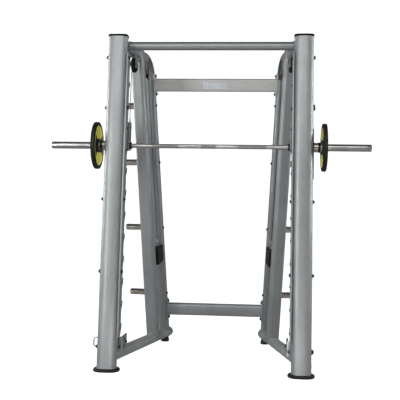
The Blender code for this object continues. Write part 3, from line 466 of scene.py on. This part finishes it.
def make_object(name, mesh, material, angle=30):
    """Turn a bmesh into an object, with no open ends, smooth up to angle degrees."""
    open_edges = [edge for edge in mesh.edges if edge.is_boundary]
    if open_edges:
        bmesh.ops.holes_fill(mesh, edges=open_edges)
    bmesh.ops.recalc_face_normals(mesh, faces=mesh.faces)
    data = bpy.data.meshes.new(name)
    mesh.to_mesh(data)
    mesh.free()
    data.materials.append(material)
    data.shade_smooth()
    data.set_sharp_from_angle(angle=math.radians(angle))
    obj = bpy.data.objects.new(name, data)
    bpy.context.scene.collection.objects.link(obj)
    return obj


def add_piece(name, mesh, material, body, slot, *nodes, angle=30):
    """A piece that rides on body, and stands for the CAD nodes named last."""
    piece = make_object(name, mesh, material, angle)
    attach(piece, body)
    if nodes:
        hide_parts(*nodes)


def turned_piece(name, profile, origin, axis, steps, material, body, slot, *nodes,
                 closed=False):
    """A piece turned from one profile about axis."""
    mesh = bmesh.new()
    add_lathe(mesh, profile, origin, axis, steps, closed)
    add_piece(name, mesh, material, body, slot, *nodes)


# ---------------------------------------------------- looks of the CAD nodes
def dress(node, material, bevel=0.0):
    """Give a CAD node its material, and shade its round faces smooth."""
    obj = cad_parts[node]
    obj.data.materials.clear()
    obj.data.materials.append(material)
    if "custom_normal" in obj.data.attributes:
        obj.data.attributes.remove(obj.data.attributes["custom_normal"])
    obj.data.shade_smooth()
    weld = obj.modifiers.new("weld", 'WELD')
    weld.merge_threshold = 0.00002
    if bevel:
        edge = obj.modifiers.new("edge", 'BEVEL')
        edge.width = bevel
        edge.segments = 2
        edge.limit_method = 'ANGLE'
        edge.angle_limit = math.radians(50)
    split = obj.modifiers.new("crease", 'EDGE_SPLIT')
    split.split_angle = math.radians(38)


# nodes that stand at both sides
SIDE_LOOKS = {
    "base_tube": PAINT, "rod_bracket_top": PAINT, "rod_bracket_bottom": PAINT,
    # the struts take the darker copy of the frame paint: painted shade
    "front_strut": PAINT_SHADE, "rear_strut": PAINT_SHADE,
    "foot_pad": RUBBER, "rear_foot": RUBBER, "stop_buffer": RUBBER,
    "carriage": ZINC, "stop_block": ZINC, "front_pulley_hanger": ZINC,
    "rear_pulley_hanger": ZINC, "bar_hook": ZINC,
    "guide_rod": ROD_CHROME, "linear_bearing": ROD_CHROME,
}
for word in SIDES:
    for node, material in SIDE_LOOKS.items():
        dress(node + "_" + word, material)
    dress("rack_plate_" + word, PAINT, bevel=0.0006)
# the upper cross-member takes the lighter copy of the frame paint: painted light
dress("upper_cross_member", PAINT_LIT)
dress("lower_cross_member", PAINT)
# the pull-up bar takes the darker copy of the frame paint: painted shade
dress("pull_up_bar", PAINT_TUBE_SHADED)


# ------------------------------------------------------------- weight plates
def grip_outline():
    """Black arm that carries the hand grip, from hub toward the rim."""
    rim, inner = arc(0.1270, -37, 37, 20), arc(0.0480, 72, -72, 16)
    waist, mirrored_waist = arc(0.086, 33, -33, 1)
    return rounded_outline(rim + [waist] + inner + [mirrored_waist], 0.014)


def slot_outline():
    """Bent slot of the hand grip."""
    radius, half_angle, half_width = 0.104, 19, 0.0095
    outer = arc(radius + half_width, -half_angle, half_angle, 14)
    inner = arc(radius - half_width, half_angle, -half_angle, 14)
    return rounded_outline(outer + inner, half_width * 0.95, 6)


def plate_face(mesh, side, face, outline, turn, low, high, chamfer):
    """Extrude an outline on one face of the plate; face is 1 outward, -1 inward."""
    spin = Matrix.Rotation(math.radians(turn), 2)
    points = [spin @ Vector(point) for point in outline]
    centre = BAR_CENTRE + outward_of(side) * PLATE_X
    middle = sum(points, Vector((0, 0))) / len(points)
    rows = []
    for level, shrink in ((low, 0.0), (high - chamfer, 0.0), (high, chamfer)):
        row = []
        for point in points:
            pull = point - middle
            flat = middle + pull * (1 - shrink / max(pull.length, shrink))
            row.append(centre + Vector((side * face * level, flat.x, flat.y)))
        rows.append(row)
    loft(mesh, rows)


def weight_plate(word, side):
    """Rubber plate with a steel hub, a yellow inlay and two black grips on each face."""
    body, slot = "disc_" + word, "coated_weight_plate"
    centre, axis = BAR_CENTRE + outward_of(side) * PLATE_X, outward_of(side)
    half, rim, lip, field = PLATE_HALF, PLATE_RADIUS, 0.1400, 0.0112
    bore = PLATE_BORE + 0.0065
    profile = [(bore, half - 0.0012), (0.046, half - 0.0012), (0.0486, half - 0.0025),
               (0.0500, field), (lip - 0.0015, field), (lip, half - 0.0014),
               (lip + 0.0014, half - 0.0003), (lip + 0.003, half), (rim - 0.0075, half),
               (rim - 0.003, half - 0.0012), (rim - 0.0008, half - 0.0036),
               (rim, half - 0.0065), (rim, 0.0042), (rim - 0.0009, 0.0034), (rim - 0.0009, 0.0)]
    mirrored = [(radius, -height) for radius, height in reversed(profile[:-1])]
    turned_piece("plate_body_" + word, profile + mirrored, centre, axis, 96, RUBBER, body, slot,
                 "weight_plate_" + word, closed=True)
    ring = [(PLATE_BORE, half - 0.0022), (PLATE_BORE + 0.0014, half - 0.0008),
            (bore + 0.0002, half - 0.0008)]
    mirrored = [(radius, -height) for radius, height in reversed(ring)]
    turned_piece("plate_hub_" + word, ring + mirrored, centre, axis, 64, CHROME, body, slot,
                 closed=True)
    inlay, grips = bmesh.new(), bmesh.new()
    seat = field - 0.001
    for face in (1, -1):
        profile = [(0.0520, seat), (lip - 0.0022, seat), (lip - 0.0022, field + 0.0016),
                   (lip - 0.0034, field + 0.0024), (0.0532, field + 0.0024),
                   (0.0520, field + 0.0016)]
        add_lathe(inlay, [(r, face * h) for r, h in profile], centre, axis, 96, closed=True)
        for turn in (4, 184):
            plate_face(grips, side, face, grip_outline(), turn, seat, field + 0.0034, 0.0008)
            plate_face(grips, side, face, slot_outline(), turn, field + 0.0030,
                       field + 0.0038, 0.0006)
    add_piece("plate_inlay_" + word, inlay, YELLOW, body, slot)
    add_piece("plate_grips_" + word, grips, RUBBER, body, slot)


# ----------------------------------------------------------- bar and sleeves
def bar_pieces():
    """Shaft with its ring grooves, and three knurled stretches on it."""
    end, r, groove = SLEEVE_START + 0.380, BAR_RADIUS, BAR_RADIUS - 0.0009
    along = (1, 0, 0)
    profile = [(0, -end), (r - 0.001, -end), (r, -end + 0.001)]
    for x in (-0.4085, -0.4005, 0.4005, 0.4085):
        profile += [(r, x - 0.0022), (groove, x - 0.0014), (groove, x + 0.0014), (r, x + 0.0022)]
    profile += [(r, end - 0.001), (r - 0.001, end), (0, end)]
    turned_piece("bar_shaft", profile, BAR_CENTRE, along, 48, CHROME, "barbell", "chromed_bar",
                 "lift_bar")
    knurl = bmesh.new()
    proud = r + 0.00022
    for low, high in ((-0.395, -0.214), (-0.058, 0.046), (0.197, 0.392)):
        add_lathe(knurl, [(r - 0.001, low), (proud, low + 0.0006), (proud, high - 0.0006),
                          (r - 0.001, high)], BAR_CENTRE, along, 56)
    add_piece("bar_knurling", knurl, KNURL, "barbell", "chromed_bar")


def sleeve_pieces(word, side):
    """Chromed sleeve with its collar, black flange, brass bush and end screw."""
    axis = outward_of(side)
    origin = BAR_CENTRE + axis * SLEEVE_START
    end, flange, washer = (x - SLEEVE_START for x in (BAR_HALF, COLLAR_END, FLANGE_END))
    r, inside = SLEEVE_RADIUS, BAR_RADIUS + 0.0003
    body, slot = "barbell", "chromed_bar"
    turned_piece(
        "sleeve_" + word,
        [(BAR_RADIUS + 0.0004, 0.0), (0.030, 0.0), (0.0325, 0.0016), (0.0325, 0.0105),
         (0.0312, 0.0118), (0.0312, 0.0142), (0.0325, 0.0155), (0.0325, flange), (r, flange),
         (r, end - 0.034), (r - 0.0007, end - 0.0335), (r - 0.0007, end - 0.0315),
         (r, end - 0.031), (r, end - 0.003), (r - 0.0008, end - 0.0009), (r - 0.003, end),
         (0.0155, end), (0.0150, end - 0.0018), (0.0, end - 0.0018)],
        origin, axis, 64, CHROME, body, slot, "bar_sleeve_" + word)
    # the collar ring is bronze-tinted steel: painted reflection
    turned_piece(
        "sleeve_ring_" + word,
        [(0.0305, -0.0002), (0.0331, 0.0014), (0.0331, 0.0104), (0.0305, 0.0116)],
        origin, axis, 64, REFLECTION_TINTED_STEEL, body, slot, closed=True)
    turned_piece(
        "sleeve_flange_" + word,
        [(r - 0.0005, flange), (0.0335, flange), (0.0348, flange + 0.0014),
         (0.0348, washer - 0.0014), (0.0335, washer), (r - 0.0005, washer)],
        origin, axis, 64, PLASTIC, body, slot, closed=True)
    turned_piece(
        "sleeve_bush_" + word,
        [(inside, -0.0005), (0.0216, -0.0005), (0.0222, -0.0068), (0.0205, -0.0078),
         (inside, -0.0078)], origin, axis, 48, BRASS, body, slot, closed=True)
    screw = bmesh.new()
    add_button_bolt(screw, origin + axis * (end - 0.0018 - 0.0045), axis, 0.008)
    add_piece("sleeve_end_screw_" + word, screw, BOLT_STEEL, body, slot)


# ------------------------------------------------------- pulleys and cables
def pulley(word, side, place, s):
    """Grooved plastic wheel with six ribs, on its steel bearing."""
    centre, axis = side_point(side, s, CABLE_OFFSET, PULLEY_Z), inward_of(side)
    half, rim = PULLEY_HALF, PULLEY_RADIUS
    body, slot = "sheave_%s_%s" % (place, word), "black_pulley"
    hub_side = [(0.0138, 0.0062), (0.0175, 0.0062), (0.0195, 0.0024), (0.036, 0.0024),
                (0.0385, 0.0072), (0.0405, half), (rim - 0.001, half), (rim, half - 0.0006),
                (rim - 0.0008, half - 0.0022)]
    groove = [(GROOVE_RADIUS + 0.0031 - 0.0031 * math.sin(angle), 0.0034 * math.cos(angle))
              for angle in (math.pi * step / 6 for step in range(7))]
    far_side = [(radius, -height) for radius, height in reversed(hub_side)]
    wheel = bmesh.new()
    add_lathe(wheel, hub_side + groove + far_side, centre, axis, 64, closed=True)
    for x, y in arc(1, 0, 300, 5):
        spoke = basis(axis) @ Vector((x, y, 0))
        across = axis.cross(spoke).normalized()
        middle = centre + spoke * 0.028
        loft(wheel, [[middle + spoke * a + across * b + axis * c for a, b in
                      ((-0.0098, -0.0016), (0.0098, -0.0016), (0.0098, 0.0016), (-0.0098, 0.0016))]
                     for c in (-0.0056, 0.0056)])
    add_piece("%s_pulley_wheel_%s" % (place, word), wheel, CAP_BLACK, body, slot,
              "%s_pulley_%s" % (place, word), angle=32)
    race = [(0.0066, 0.0048), (0.0082, 0.0050), (0.0084, 0.0042), (0.0118, 0.0042),
            (0.0120, 0.0050), (0.0139, 0.0048)]
    far_race = [(radius, -height) for radius, height in reversed(race)]
    turned_piece("%s_pulley_bearing_%s" % (place, word), race + far_race, centre, axis, 40,
                 ROD_CHROME, body, slot, closed=True)


def bend_point(side, pulley_s, angle):
    """A point of the cable where it bends over a pulley, angle up from rearward."""
    return side_point(side, pulley_s + CABLE_BEND * math.cos(angle), CABLE_OFFSET,
                      PULLEY_Z + CABLE_BEND * math.sin(angle))


def cable_over_pulleys(side, steps=16):
    """Route over both pulleys, from the front tangent point to the rear one."""
    front = math.pi - math.atan(math.tan(LEAN) * math.cos(TOE))
    rear = math.atan(WEIGHT_SLOPE)
    points = []
    for pulley_s, start, end in ((FRONT_PULLEY_S, front, math.pi / 2),
                                 (REAR_PULLEY_S, math.pi / 2, rear)):
        points += [bend_point(side, pulley_s, start + (end - start) * step / steps)
                   for step in range(steps + 1)]
    return points


def hanging_cable(name, start, end, steps):
    """Straight stretch of cable from start to end."""
    mesh = bmesh.new()
    add_cable(mesh, [start.lerp(end, i / steps) for i in range(steps + 1)])
    run = make_object(name, mesh, CABLE, 60)
    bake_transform(run)


def cable_pieces(word, side):
    """Lift cable from the carriage over both pulleys to the counterweight."""
    ballast = "ballast_" + word
    route = cable_over_pulleys(side)
    over = bmesh.new()
    add_cable(over, route)
    add_piece("cable_over_pulleys_" + word, over, CABLE, "frame", "steel_cable",
              "lift_cable_" + word, angle=60)
    leave, drop = route[0], route[-1]
    foot_z = BAR_Z + 0.165 + 0.0003
    foot = Vector((leave.x, leave.y - (leave.z - foot_z) * math.tan(LEAN), foot_z))
    top = weight_point(side, 0.086 + 0.0003)
    hanging_cable("cable_front_run_" + word, leave, foot, 40)
    hanging_cable("cable_rear_run_" + word, drop, top, 60)
    up_rod = Vector((0, math.sin(LEAN), math.cos(LEAN)))
    turned_piece("cable_socket_front_" + word,
                 [(0.0028, 0.0), (0.0062, 0.0), (0.0068, 0.004), (0.0068, 0.018),
                  (0.0058, 0.024), (0.0036, 0.034), (0.0028, 0.036)],
                 foot, up_rod, 20, ZINC, "carriages", "plated_carriage")
    turned_piece("cable_socket_rear_" + word,
                 [(0.0028, 0.0), (0.0068, 0.0), (0.0072, 0.004), (0.0072, 0.020),
                  (0.0060, 0.027), (0.0036, 0.038), (0.0028, 0.040)],
                 top, weight_direction(side), 20, ZINC, ballast, "coated_counterweight")


def weight_direction(side):
    """Unit vector up the counterweight's travel."""
    start = side_point(side, WEIGHT_S, CABLE_OFFSET, 0)
    return (side_point(side, WEIGHT_S - WEIGHT_SLOPE, CABLE_OFFSET, 1) - start).normalized()


def weight_point(side, along):
    """A point on the counterweight's cable line, along from its middle."""
    slope = math.atan(WEIGHT_SLOPE)
    z = WEIGHT_Z + math.cos(slope) * along
    start_s = REAR_PULLEY_S + CABLE_BEND * math.cos(slope)
    start_z = PULLEY_Z + CABLE_BEND * math.sin(slope)
    return side_point(side, start_s + (start_z - z) * WEIGHT_SLOPE, CABLE_OFFSET, z)


def counterweight(word, side):
    """Coated block with softened edges, split by two shadow lines, on a steel stud."""
    body, slot = "ballast_" + word, "coated_counterweight"
    up, across = weight_direction(side), inward_of(side)
    along = across.cross(up).normalized()
    middle = side_point(side, WEIGHT_S - WEIGHT_SLOPE * WEIGHT_Z, CABLE_OFFSET, WEIGHT_Z)
    half, depth, width, edge = 0.066, 0.136, 0.058, 0.006
    # (level, how far the outline shrinks there)
    end = [(half - edge, 0.0), (half - edge * 0.5, edge * 0.15),
           (half - edge * 0.15, edge * 0.5), (half, edge)]
    stations = [(-level, shrink) for level, shrink in reversed(end)]
    for seam in (-0.022, 0.022):
        stations += [(seam - 0.0022, 0.0), (seam - 0.0010, 0.0012), (seam + 0.0010, 0.0012),
                     (seam + 0.0022, 0.0)]
    block = bmesh.new()
    loft(block, [[middle + up * level + along * a + across * b for a, b in
                  rounded_rectangle(depth - 2 * shrink, width - 2 * shrink,
                                    0.012 - shrink * 0.5)]
                 for level, shrink in stations + end])
    add_piece("counterweight_block_" + word, block, BLACK_COAT, body, slot,
              "counterweight_" + word)
    stud = bmesh.new()
    base, washer = weight_point(side, half), 0.0022
    add_lathe(stud, [(0, 0), (0.016, 0), (0.016, washer), (0.0075, washer), (0.0075, 0.0195),
                     (0, 0.0195)], base, up, 24)
    add_prism(stud, hexagon(0.022), base + up * washer, up, 0.009, 0.001)
    add_piece("counterweight_stud_" + word, stud, ZINC, body, slot)


# ----------------------------------------------------------------- fasteners
def frame_bolts(word, side):
    """All the bolts that hold one side of the frame together."""
    out, inward = outward_of(side), inward_of(side)
    bolts = bmesh.new()
    # through-bolts of the rack, seen on the post's outer face and on the rack plate
    for z in (0.156, 0.649, 1.133, 1.757, 2.107):
        add_bolt(bolts, post_point(side, -POST_HALF_WIDTH, 0.0, z), out, 0.0120, 0.004)
        add_bolt(bolts, post_point(side, RACK_INNER, 0.0, z), -out, 0.0120, 0.002)
    # the rack plate's own screws, one under every tooth
    for tooth in range(-8, 5):
        z = BAR_Z + tooth * TOOTH_PITCH - 0.036
        add_button_bolt(bolts, post_point(side, RACK_INNER, 0.040, z), -out, 0.0105)
    # end plates of both cross-members, above and below them on the rear struts
    up_strut = rear_strut_point(side, 0, 1) - rear_strut_point(side, 0, 0)
    for z in CROSS_Z.values():
        for shift in (-0.068, 0.068):
            seat = rear_strut_point(side, REAR_STRUT_HALF + 0.0083, z)
            add_bolt(bolts, seat + up_strut.normalized() * shift, inward, 0.010, 0.005)
    # horn bolts come through to the inner faces of the rear struts
    for z in HORN_Z:
        add_bolt(bolts, rear_strut_point(side, REAR_STRUT_HALF, z), inward, 0.010, 0.005)
    # screws of the top rod bracket (the stop rests where the bottom one's would be)
    bracket_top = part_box("rod_bracket_top_" + word)[1].z
    for across in (-0.021, 0.021):
        add_button_bolt(bolts, post_point(side, across, 0.098, bracket_top), (0, 0, 1), 0.006)
    add_piece("frame_bolts_" + word, bolts, BOLT_STEEL, "frame", "plated_hanger")


def pulley_nuts(word, side):
    """Bright axle nuts on both cheeks of both pulley hangers."""
    inward = inward_of(side)
    nuts = bmesh.new()
    for s in (FRONT_PULLEY_S, REAR_PULLEY_S):
        for cheek, axis in ((0.0345, inward), (0.0055, -inward)):
            add_bolt(nuts, side_point(side, s, cheek, PULLEY_Z), axis, 0.0080, 0.002)
    add_piece("pulley_nuts_" + word, nuts, ZINC, "frame", "plated_hanger")


def carriage_fasteners(word, side):
    """Screws of the carriage's cheeks, and the bar's locking collar beside it."""
    out = outward_of(side)
    screws = bmesh.new()
    for rise in (0.045, 0.125):
        for behind in (0.088, 0.138):
            add_button_bolt(screws, post_point(side, 0.0835, behind, BAR_Z + rise), -out, 0.0065)
            add_button_bolt(screws, post_point(side, -0.045, behind, BAR_Z + rise), out, 0.0065)
    add_piece("carriage_bolts_" + word, screws, BOLT_STEEL, "carriages", "plated_carriage")
    collar = bmesh.new()
    middle, bore = BAR_CENTRE + out * (POST_X - 0.0905), BAR_RADIUS + 0.0003
    add_lathe(collar, [(bore, -0.006), (0.0235, -0.006), (0.0245, -0.005), (0.0245, 0.005),
                       (0.0235, 0.006), (bore, 0.006)], middle, out, 48, closed=True)
    add_button_bolt(collar, middle + Vector((0, -0.0244, 0)), (0, -1, 0), 0.0055)
    add_piece("bar_collar_" + word, collar, BOLT_STEEL, "barbell", "plated_hook")


def stop_bolts(word, side):
    """Screws and a nut on the inner face of a height stop."""
    inner_face = 0.090
    bolts = bmesh.new()
    for z in (0.145, 0.190):
        add_button_bolt(bolts, post_point(side, inner_face, 0.122, z), -outward_of(side), 0.008)
    add_bolt(bolts, post_point(side, inner_face, 0.178, 0.166), -outward_of(side), 0.010, 0.004)
    add_piece("stop_bolts_" + word, bolts, BOLT_STEEL, "stop_" + word, "plated_stop")


def brass_knob():
    """Turned brass sleeve and ball over the right stop's pull pin."""
    turned_piece("stop_knob_brass",
                 [(0.0064, 0.006), (0.0085, 0.006), (0.0085, 0.018), (0.0064, 0.019),
                  (0.0064, 0.043), (0.0095, 0.0450), (0.0113, 0.0485), (0.0115, 0.0530),
                  (0.0108, 0.0580), (0.0080, 0.0615), (0.0, 0.0625)],
                 post_point(1, -0.026, 0.098, 0.150), (1, 0, 0), 40, BRASS, "stop_right",
                 "plated_stop")


# --------------------------------------------------- frame and carriage parts
def horn(word, side, number, z):
    """Storage horn: welded flange, chromed tube with a rounded plastic end."""
    name = "%d_%s" % (number, word)
    seat, outward = rear_strut_point(side, -REAR_STRUT_HALF - 0.0003, z), -inward_of(side)
    r, end = HORN_RADIUS, HORN_LENGTH
    turned_piece("horn_tube_" + name,
                 [(0, 0), (0.0335, 0), (0.034, 0.0006), (0.034, 0.0054), (0.0335, 0.006),
                  (r + 0.002, 0.006), (r + 0.0006, 0.0068), (r, 0.0085), (r, end - 0.006),
                  (r - 0.0006, end - 0.0054), (r - 0.0006, end - 0.005), (0, end - 0.005)],
                 seat, outward, 48, HORN_CHROME, "frame", "chromed_horn", "storage_horn_" + name)
    turned_piece("horn_cap_" + name,
                 [(0, end - 0.006), (r - 0.0002, end - 0.006), (r - 0.0002, end - 0.0030),
                  (r - 0.0010, end - 0.0012), (r - 0.0030, end), (0, end)],
                 seat, outward, 48, PLASTIC, "frame", "chromed_horn")


def label_plate():
    """Plain pale plate on the upper cross-member."""
    z, slope = CROSS_Z["upper"], math.atan(REAR_STRUT_SLOPE)
    width, height, face = 0.185, 0.050, 0.0250
    forward = Vector((0, -math.cos(slope), -math.sin(slope)))
    upward = Vector((0, -math.sin(slope), math.cos(slope)))
    centre = Vector((0, rear_strut_point(1, REAR_STRUT_HALF, z).y, z)) + forward * face
    mesh = bmesh.new()
    loft(mesh, [[centre + Vector((a * (1 - shrink / 0.09), 0, 0))
                 + upward * (b * (1 - shrink / 0.025)) + forward * level
                 for a, b in rounded_rectangle(width, height, 0.006)]
                for level, shrink in ((0.0, 0.0), (0.0006, 0.0), (0.0009, 0.0004))])
    add_piece("blank_label", mesh, LABEL, "frame", "silver_frame_paint")


def post_skin(word, side):
    """Crowned oval tube of the post, a little softer than the plain rounded section."""
    node = "post_" + word
    low, high = (corner.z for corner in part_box(node))
    mesh = bmesh.new()
    loft(mesh, [[post_point(side, 0, 0, low + (high - low) * i / 24) + Vector((x, y, 0))
                 for x, y in oval_outline(POST_HALF_WIDTH, POST_HALF_DEPTH)] for i in range(25)])
    add_piece("post_skin_" + word, mesh, PAINT, "frame", "silver_frame_paint", node, angle=40)


def cap_lid(word, side):
    """Moulded lid over the top of a post, with a rounded upper edge."""
    node, squareness = "post_cap_" + word, 4.5
    half_x, half_y = POST_HALF_WIDTH + 0.0012, POST_HALF_DEPTH + 0.0012
    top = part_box(node)[1].z
    mesh = bmesh.new()
    loft(mesh, [[post_point(side, 0, 0, top - below) + Vector((x, y, 0))
                 for x, y in oval_outline(half_x - shrink, half_y - shrink, squareness)]
                for below, shrink in ((0.0130, 0.0004), (0.0125, 0.0), (0.0016, 0.0),
                                      (0.0008, 0.0003), (0.0, 0.0012))])
    add_piece("cap_lid_" + word, mesh, CAP_BLACK, "frame", "black_end_cap", node, angle=40)


def arch_cutter(side):
    """Solid that opens the hollow side of the arch, clear of the rear pulley hanger."""
    cut_from, cut_to, steps = 9.5, 81.0, 24
    wall, reach, half_width = 0.012, -0.060, 0.050
    mesh = bmesh.new()
    loft(mesh, [[side_point(side, ARCH_S + x * (1 + a / ARCH_RADIUS), b,
                            ARCH_Z + z * (1 + a / ARCH_RADIUS))
                 for a, b in ((reach, -half_width), (wall, -half_width), (wall, half_width),
                              (reach, half_width))]
                for x, z in arc(ARCH_RADIUS, cut_from, cut_to, steps)])
    return make_object("arch_cutter", mesh, PAINT_SHADE)


def rear_strut_skin(word, side):
    """Rear strut whose arch is a shallow channel, open on its hollow side."""
    node, name = "rear_strut_" + word, "rear_strut_skin_" + word
    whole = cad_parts[node].copy()
    whole.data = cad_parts[node].data.copy()
    whole.modifiers.clear()
    bpy.context.scene.collection.objects.link(whole)
    cut = whole.modifiers.new("cut", 'BOOLEAN')
    cut.operation = 'DIFFERENCE'
    cut.solver = 'EXACT'
    cut.object = arch_cutter(side)
    bpy.context.view_layer.update()
    shape = bpy.data.meshes.new_from_object(
        whole.evaluated_get(bpy.context.evaluated_depsgraph_get()))
    bpy.data.objects.remove(cut.object)
    bpy.data.objects.remove(whole)
    mesh = bmesh.new()
    mesh.from_mesh(shape)
    bmesh.ops.remove_doubles(mesh, verts=mesh.verts, dist=0.00002)
    for face in mesh.faces:
        face.material_index = 0
    # the rear strut takes the darkest copy of the frame paint: painted shade
    add_piece(name, mesh, PAINT_REAR_SHADED, "frame", "silver_frame_paint", node, angle=38)


def strut_head(word, side):
    """Top of the front strut, where it wraps the tube that runs forward to the post."""
    width, depth, radius = 0.0922, 0.0822, 0.020
    mesh = bmesh.new()
    loft(mesh, [[side_point(side, FRONT_STRUT_S - FRONT_STRUT_SLOPE * z + a, b, z) for a, b in
                 rounded_rectangle(width - 2 * shrink, depth - 2 * shrink, radius)]
                for z, shrink in ((2.150, 0.0), (2.2325, 0.0), (2.2350, 0.0009),
                                  (2.2360, 0.0026))])
    add_piece("strut_head_" + word, mesh, PAINT_SHADE, "frame", "silver_frame_paint", angle=40)


def carriage_lever(word, side):
    """Dark lever plate outside each carriage, with a hooked tip and a web back to it."""
    # (behind the post's axis, above the bar)
    outline = rounded_outline(
        [(0.060, -0.218), (0.076, -0.224), (0.083, -0.210), (0.083, 0.012), (0.079, 0.030),
         (0.081, 0.060), (0.084, 0.085), (0.084, 0.118), (0.078, 0.127), (0.062, 0.122),
         (0.058, 0.108), (0.066, 0.104), (0.068, 0.094), (0.060, 0.062), (0.060, 0.030),
         (0.064, 0.010), (0.060, -0.010)], 0.006, 4)
    web = [(0.076, 0.062), (0.082, 0.062), (0.082, 0.110), (0.076, 0.110)]
    spine, half_width = 0.071, 0.012
    mesh = bmesh.new()
    rows = []
    for reach, shrink in ((-0.0700, 0.0006), (-0.0706, 0.0), (-0.0746, 0.0), (-0.0752, 0.0006)):
        rows.append([post_point(side, reach, behind + (spine - behind) * shrink / half_width,
                                BAR_Z + rise) for behind, rise in outline])
    loft(mesh, rows)
    loft(mesh, [[post_point(side, reach, behind, BAR_Z + rise) for behind, rise in web]
                for reach in (-0.0440, -0.0712)])
    add_piece("carriage_lever_" + word, mesh, PLASTIC, "carriages", "plated_carriage", angle=32)


bar_pieces()
brass_knob()
label_plate()
for word, side in SIDES.items():
    weight_plate(word, side)
    sleeve_pieces(word, side)
    pulley(word, side, "front", FRONT_PULLEY_S)
    pulley(word, side, "rear", REAR_PULLEY_S)
    cable_pieces(word, side)
    counterweight(word, side)
    frame_bolts(word, side)
    pulley_nuts(word, side)
    for number, z in enumerate(HORN_Z, 1):
        horn(word, side, number, z)
    post_skin(word, side)
    cap_lid(word, side)
    strut_head(word, side)
    rear_strut_skin(word, side)
    carriage_lever(word, side)
    carriage_fasteners(word, side)
    stop_bolts(word, side)


# -------------------------------------------------- floor, lights and camera
def stage_sheet(name, corners, glow):
    """One flat sheet of the studio: floor or backdrop, evenly lit from within."""
    data = bpy.data.meshes.new(name)
    data.from_pydata(corners, [], [(0, 1, 2, 3)])
    sheet = bpy.data.objects.new(name, data)
    bpy.context.scene.collection.objects.link(sheet)
    material = bpy.data.materials.new(name)
    material.use_nodes = True
    shader = material.node_tree.nodes["Principled BSDF"]
    shader.inputs["Base Color"].default_value = (0.60, 0.60, 0.60, 1)
    shader.inputs["Roughness"].default_value = 0.9
    shader.inputs["Specular IOR Level"].default_value = 0.1
    shader.inputs["Emission Color"].default_value = (1, 1, 1, 1)
    shader.inputs["Emission Strength"].default_value = glow
    data.materials.append(material)
    sheet.visible_glossy = False
    sheet.visible_diffuse = False
    return sheet


def studio():
    """Pale floor with pale walls on all four sides."""
    far, high = 16, 14
    stage_sheet("studio_floor", [(-far, -far, 0), (far, -far, 0), (far, far, 0), (-far, far, 0)],
                0.98)
    corners = [(-far, far), (far, far), (far, -far), (-far, -far)]
    for number, (a, b) in enumerate(zip(corners, corners[1:] + corners[:1]), 1):
        stage_sheet("studio_wall_%d" % number,
                    [(*a, 0), (*b, 0), (*b, high), (*a, high)], 1.0).visible_shadow = False


def area_light(name, place, target, width, height, power):
    light = bpy.data.lights.new(name, 'AREA')
    light.shape = 'RECTANGLE'
    light.size = width
    light.size_y = height
    light.energy = power
    obj = bpy.data.objects.new(name, light)
    obj.location = place
    aim = Vector(target) - Vector(place)
    obj.rotation_euler = aim.to_track_quat('-Z', 'Y').to_euler()
    obj.visible_camera = False
    bpy.context.scene.collection.objects.link(obj)


def make_camera():
    yaw, pitch, roll = (math.radians(v) for v in (-4.562, 1.378, 1.018))
    ahead = Vector((math.sin(yaw) * math.cos(pitch), math.cos(yaw) * math.cos(pitch),
                    math.sin(pitch)))
    level = Vector((math.cos(yaw), -math.sin(yaw), 0))
    upright = level.cross(ahead)
    right = math.cos(roll) * level + math.sin(roll) * upright
    top = -math.sin(roll) * level + math.cos(roll) * upright
    data = bpy.data.cameras.new("camera")
    data.sensor_width = 36.0
    data.lens = 68.8
    camera = bpy.data.objects.new("camera", data)
    matrix = Matrix((right, top, -ahead)).transposed().to_4x4()
    matrix.translation = Vector((0.360, -4.987 + SHIFT_Y, 1.012))
    camera.matrix_world = matrix
    bpy.context.scene.collection.objects.link(camera)
    bpy.context.scene.camera = camera


studio()
make_camera()
area_light("key_left", (-3.0, -4.8, 1.9), (0, -0.2, 1.3), 1.0, 2.4, 90)
area_light("fill_right", (4.6, -3.2, 1.8), (0, 0, 1.1), 0.8, 3.0, 8)
area_light("overhead", (0, -3.4, 3.3), (0, -0.3, 1.6), 3.2, 1.2, 42)
area_light("rear_left", (-3.8, 2.2, 2.4), (0, 0, 1.0), 0.7, 3.2, 40)
area_light("rear_right", (3.8, 2.2, 2.4), (0, 0, 1.0), 0.7, 3.2, 34)
area_light("side_left", (-4.4, -0.3, 2.1), (0, 0, 1.7), 0.6, 1.8, 70)
area_light("side_right", (4.4, -0.3, 2.3), (0, 0, 1.7), 0.6, 1.6, 64)
area_light("low_front", (0.2, -2.4, 0.20), (0, 0.5, 0.25), 1.6, 0.3, 8)
world = bpy.data.worlds.new("studio_world")
world.use_nodes = True
world_nodes, world_links = world.node_tree.nodes, world.node_tree.links
world_nodes["Background"].inputs["Color"].default_value = (1.0, 1.0, 1.0, 1)
direction = world_nodes.new("ShaderNodeTexCoord")
height = world_nodes.new("ShaderNodeSeparateXYZ")
world_links.new(direction.outputs["Generated"], height.inputs["Vector"])
shade = world_nodes.new("ShaderNodeMapRange")
shade.inputs["From Min"].default_value = -1.0
shade.inputs["To Min"].default_value = 0.28
shade.inputs["To Max"].default_value = 0.05
world_links.new(height.outputs["Z"], shade.inputs["Value"])
world_links.new(shade.outputs["Result"], world_nodes["Background"].inputs["Strength"])
bpy.context.scene.world = world
bpy.context.scene.view_settings.view_transform = 'Standard'

bpy.context.view_layer.update()
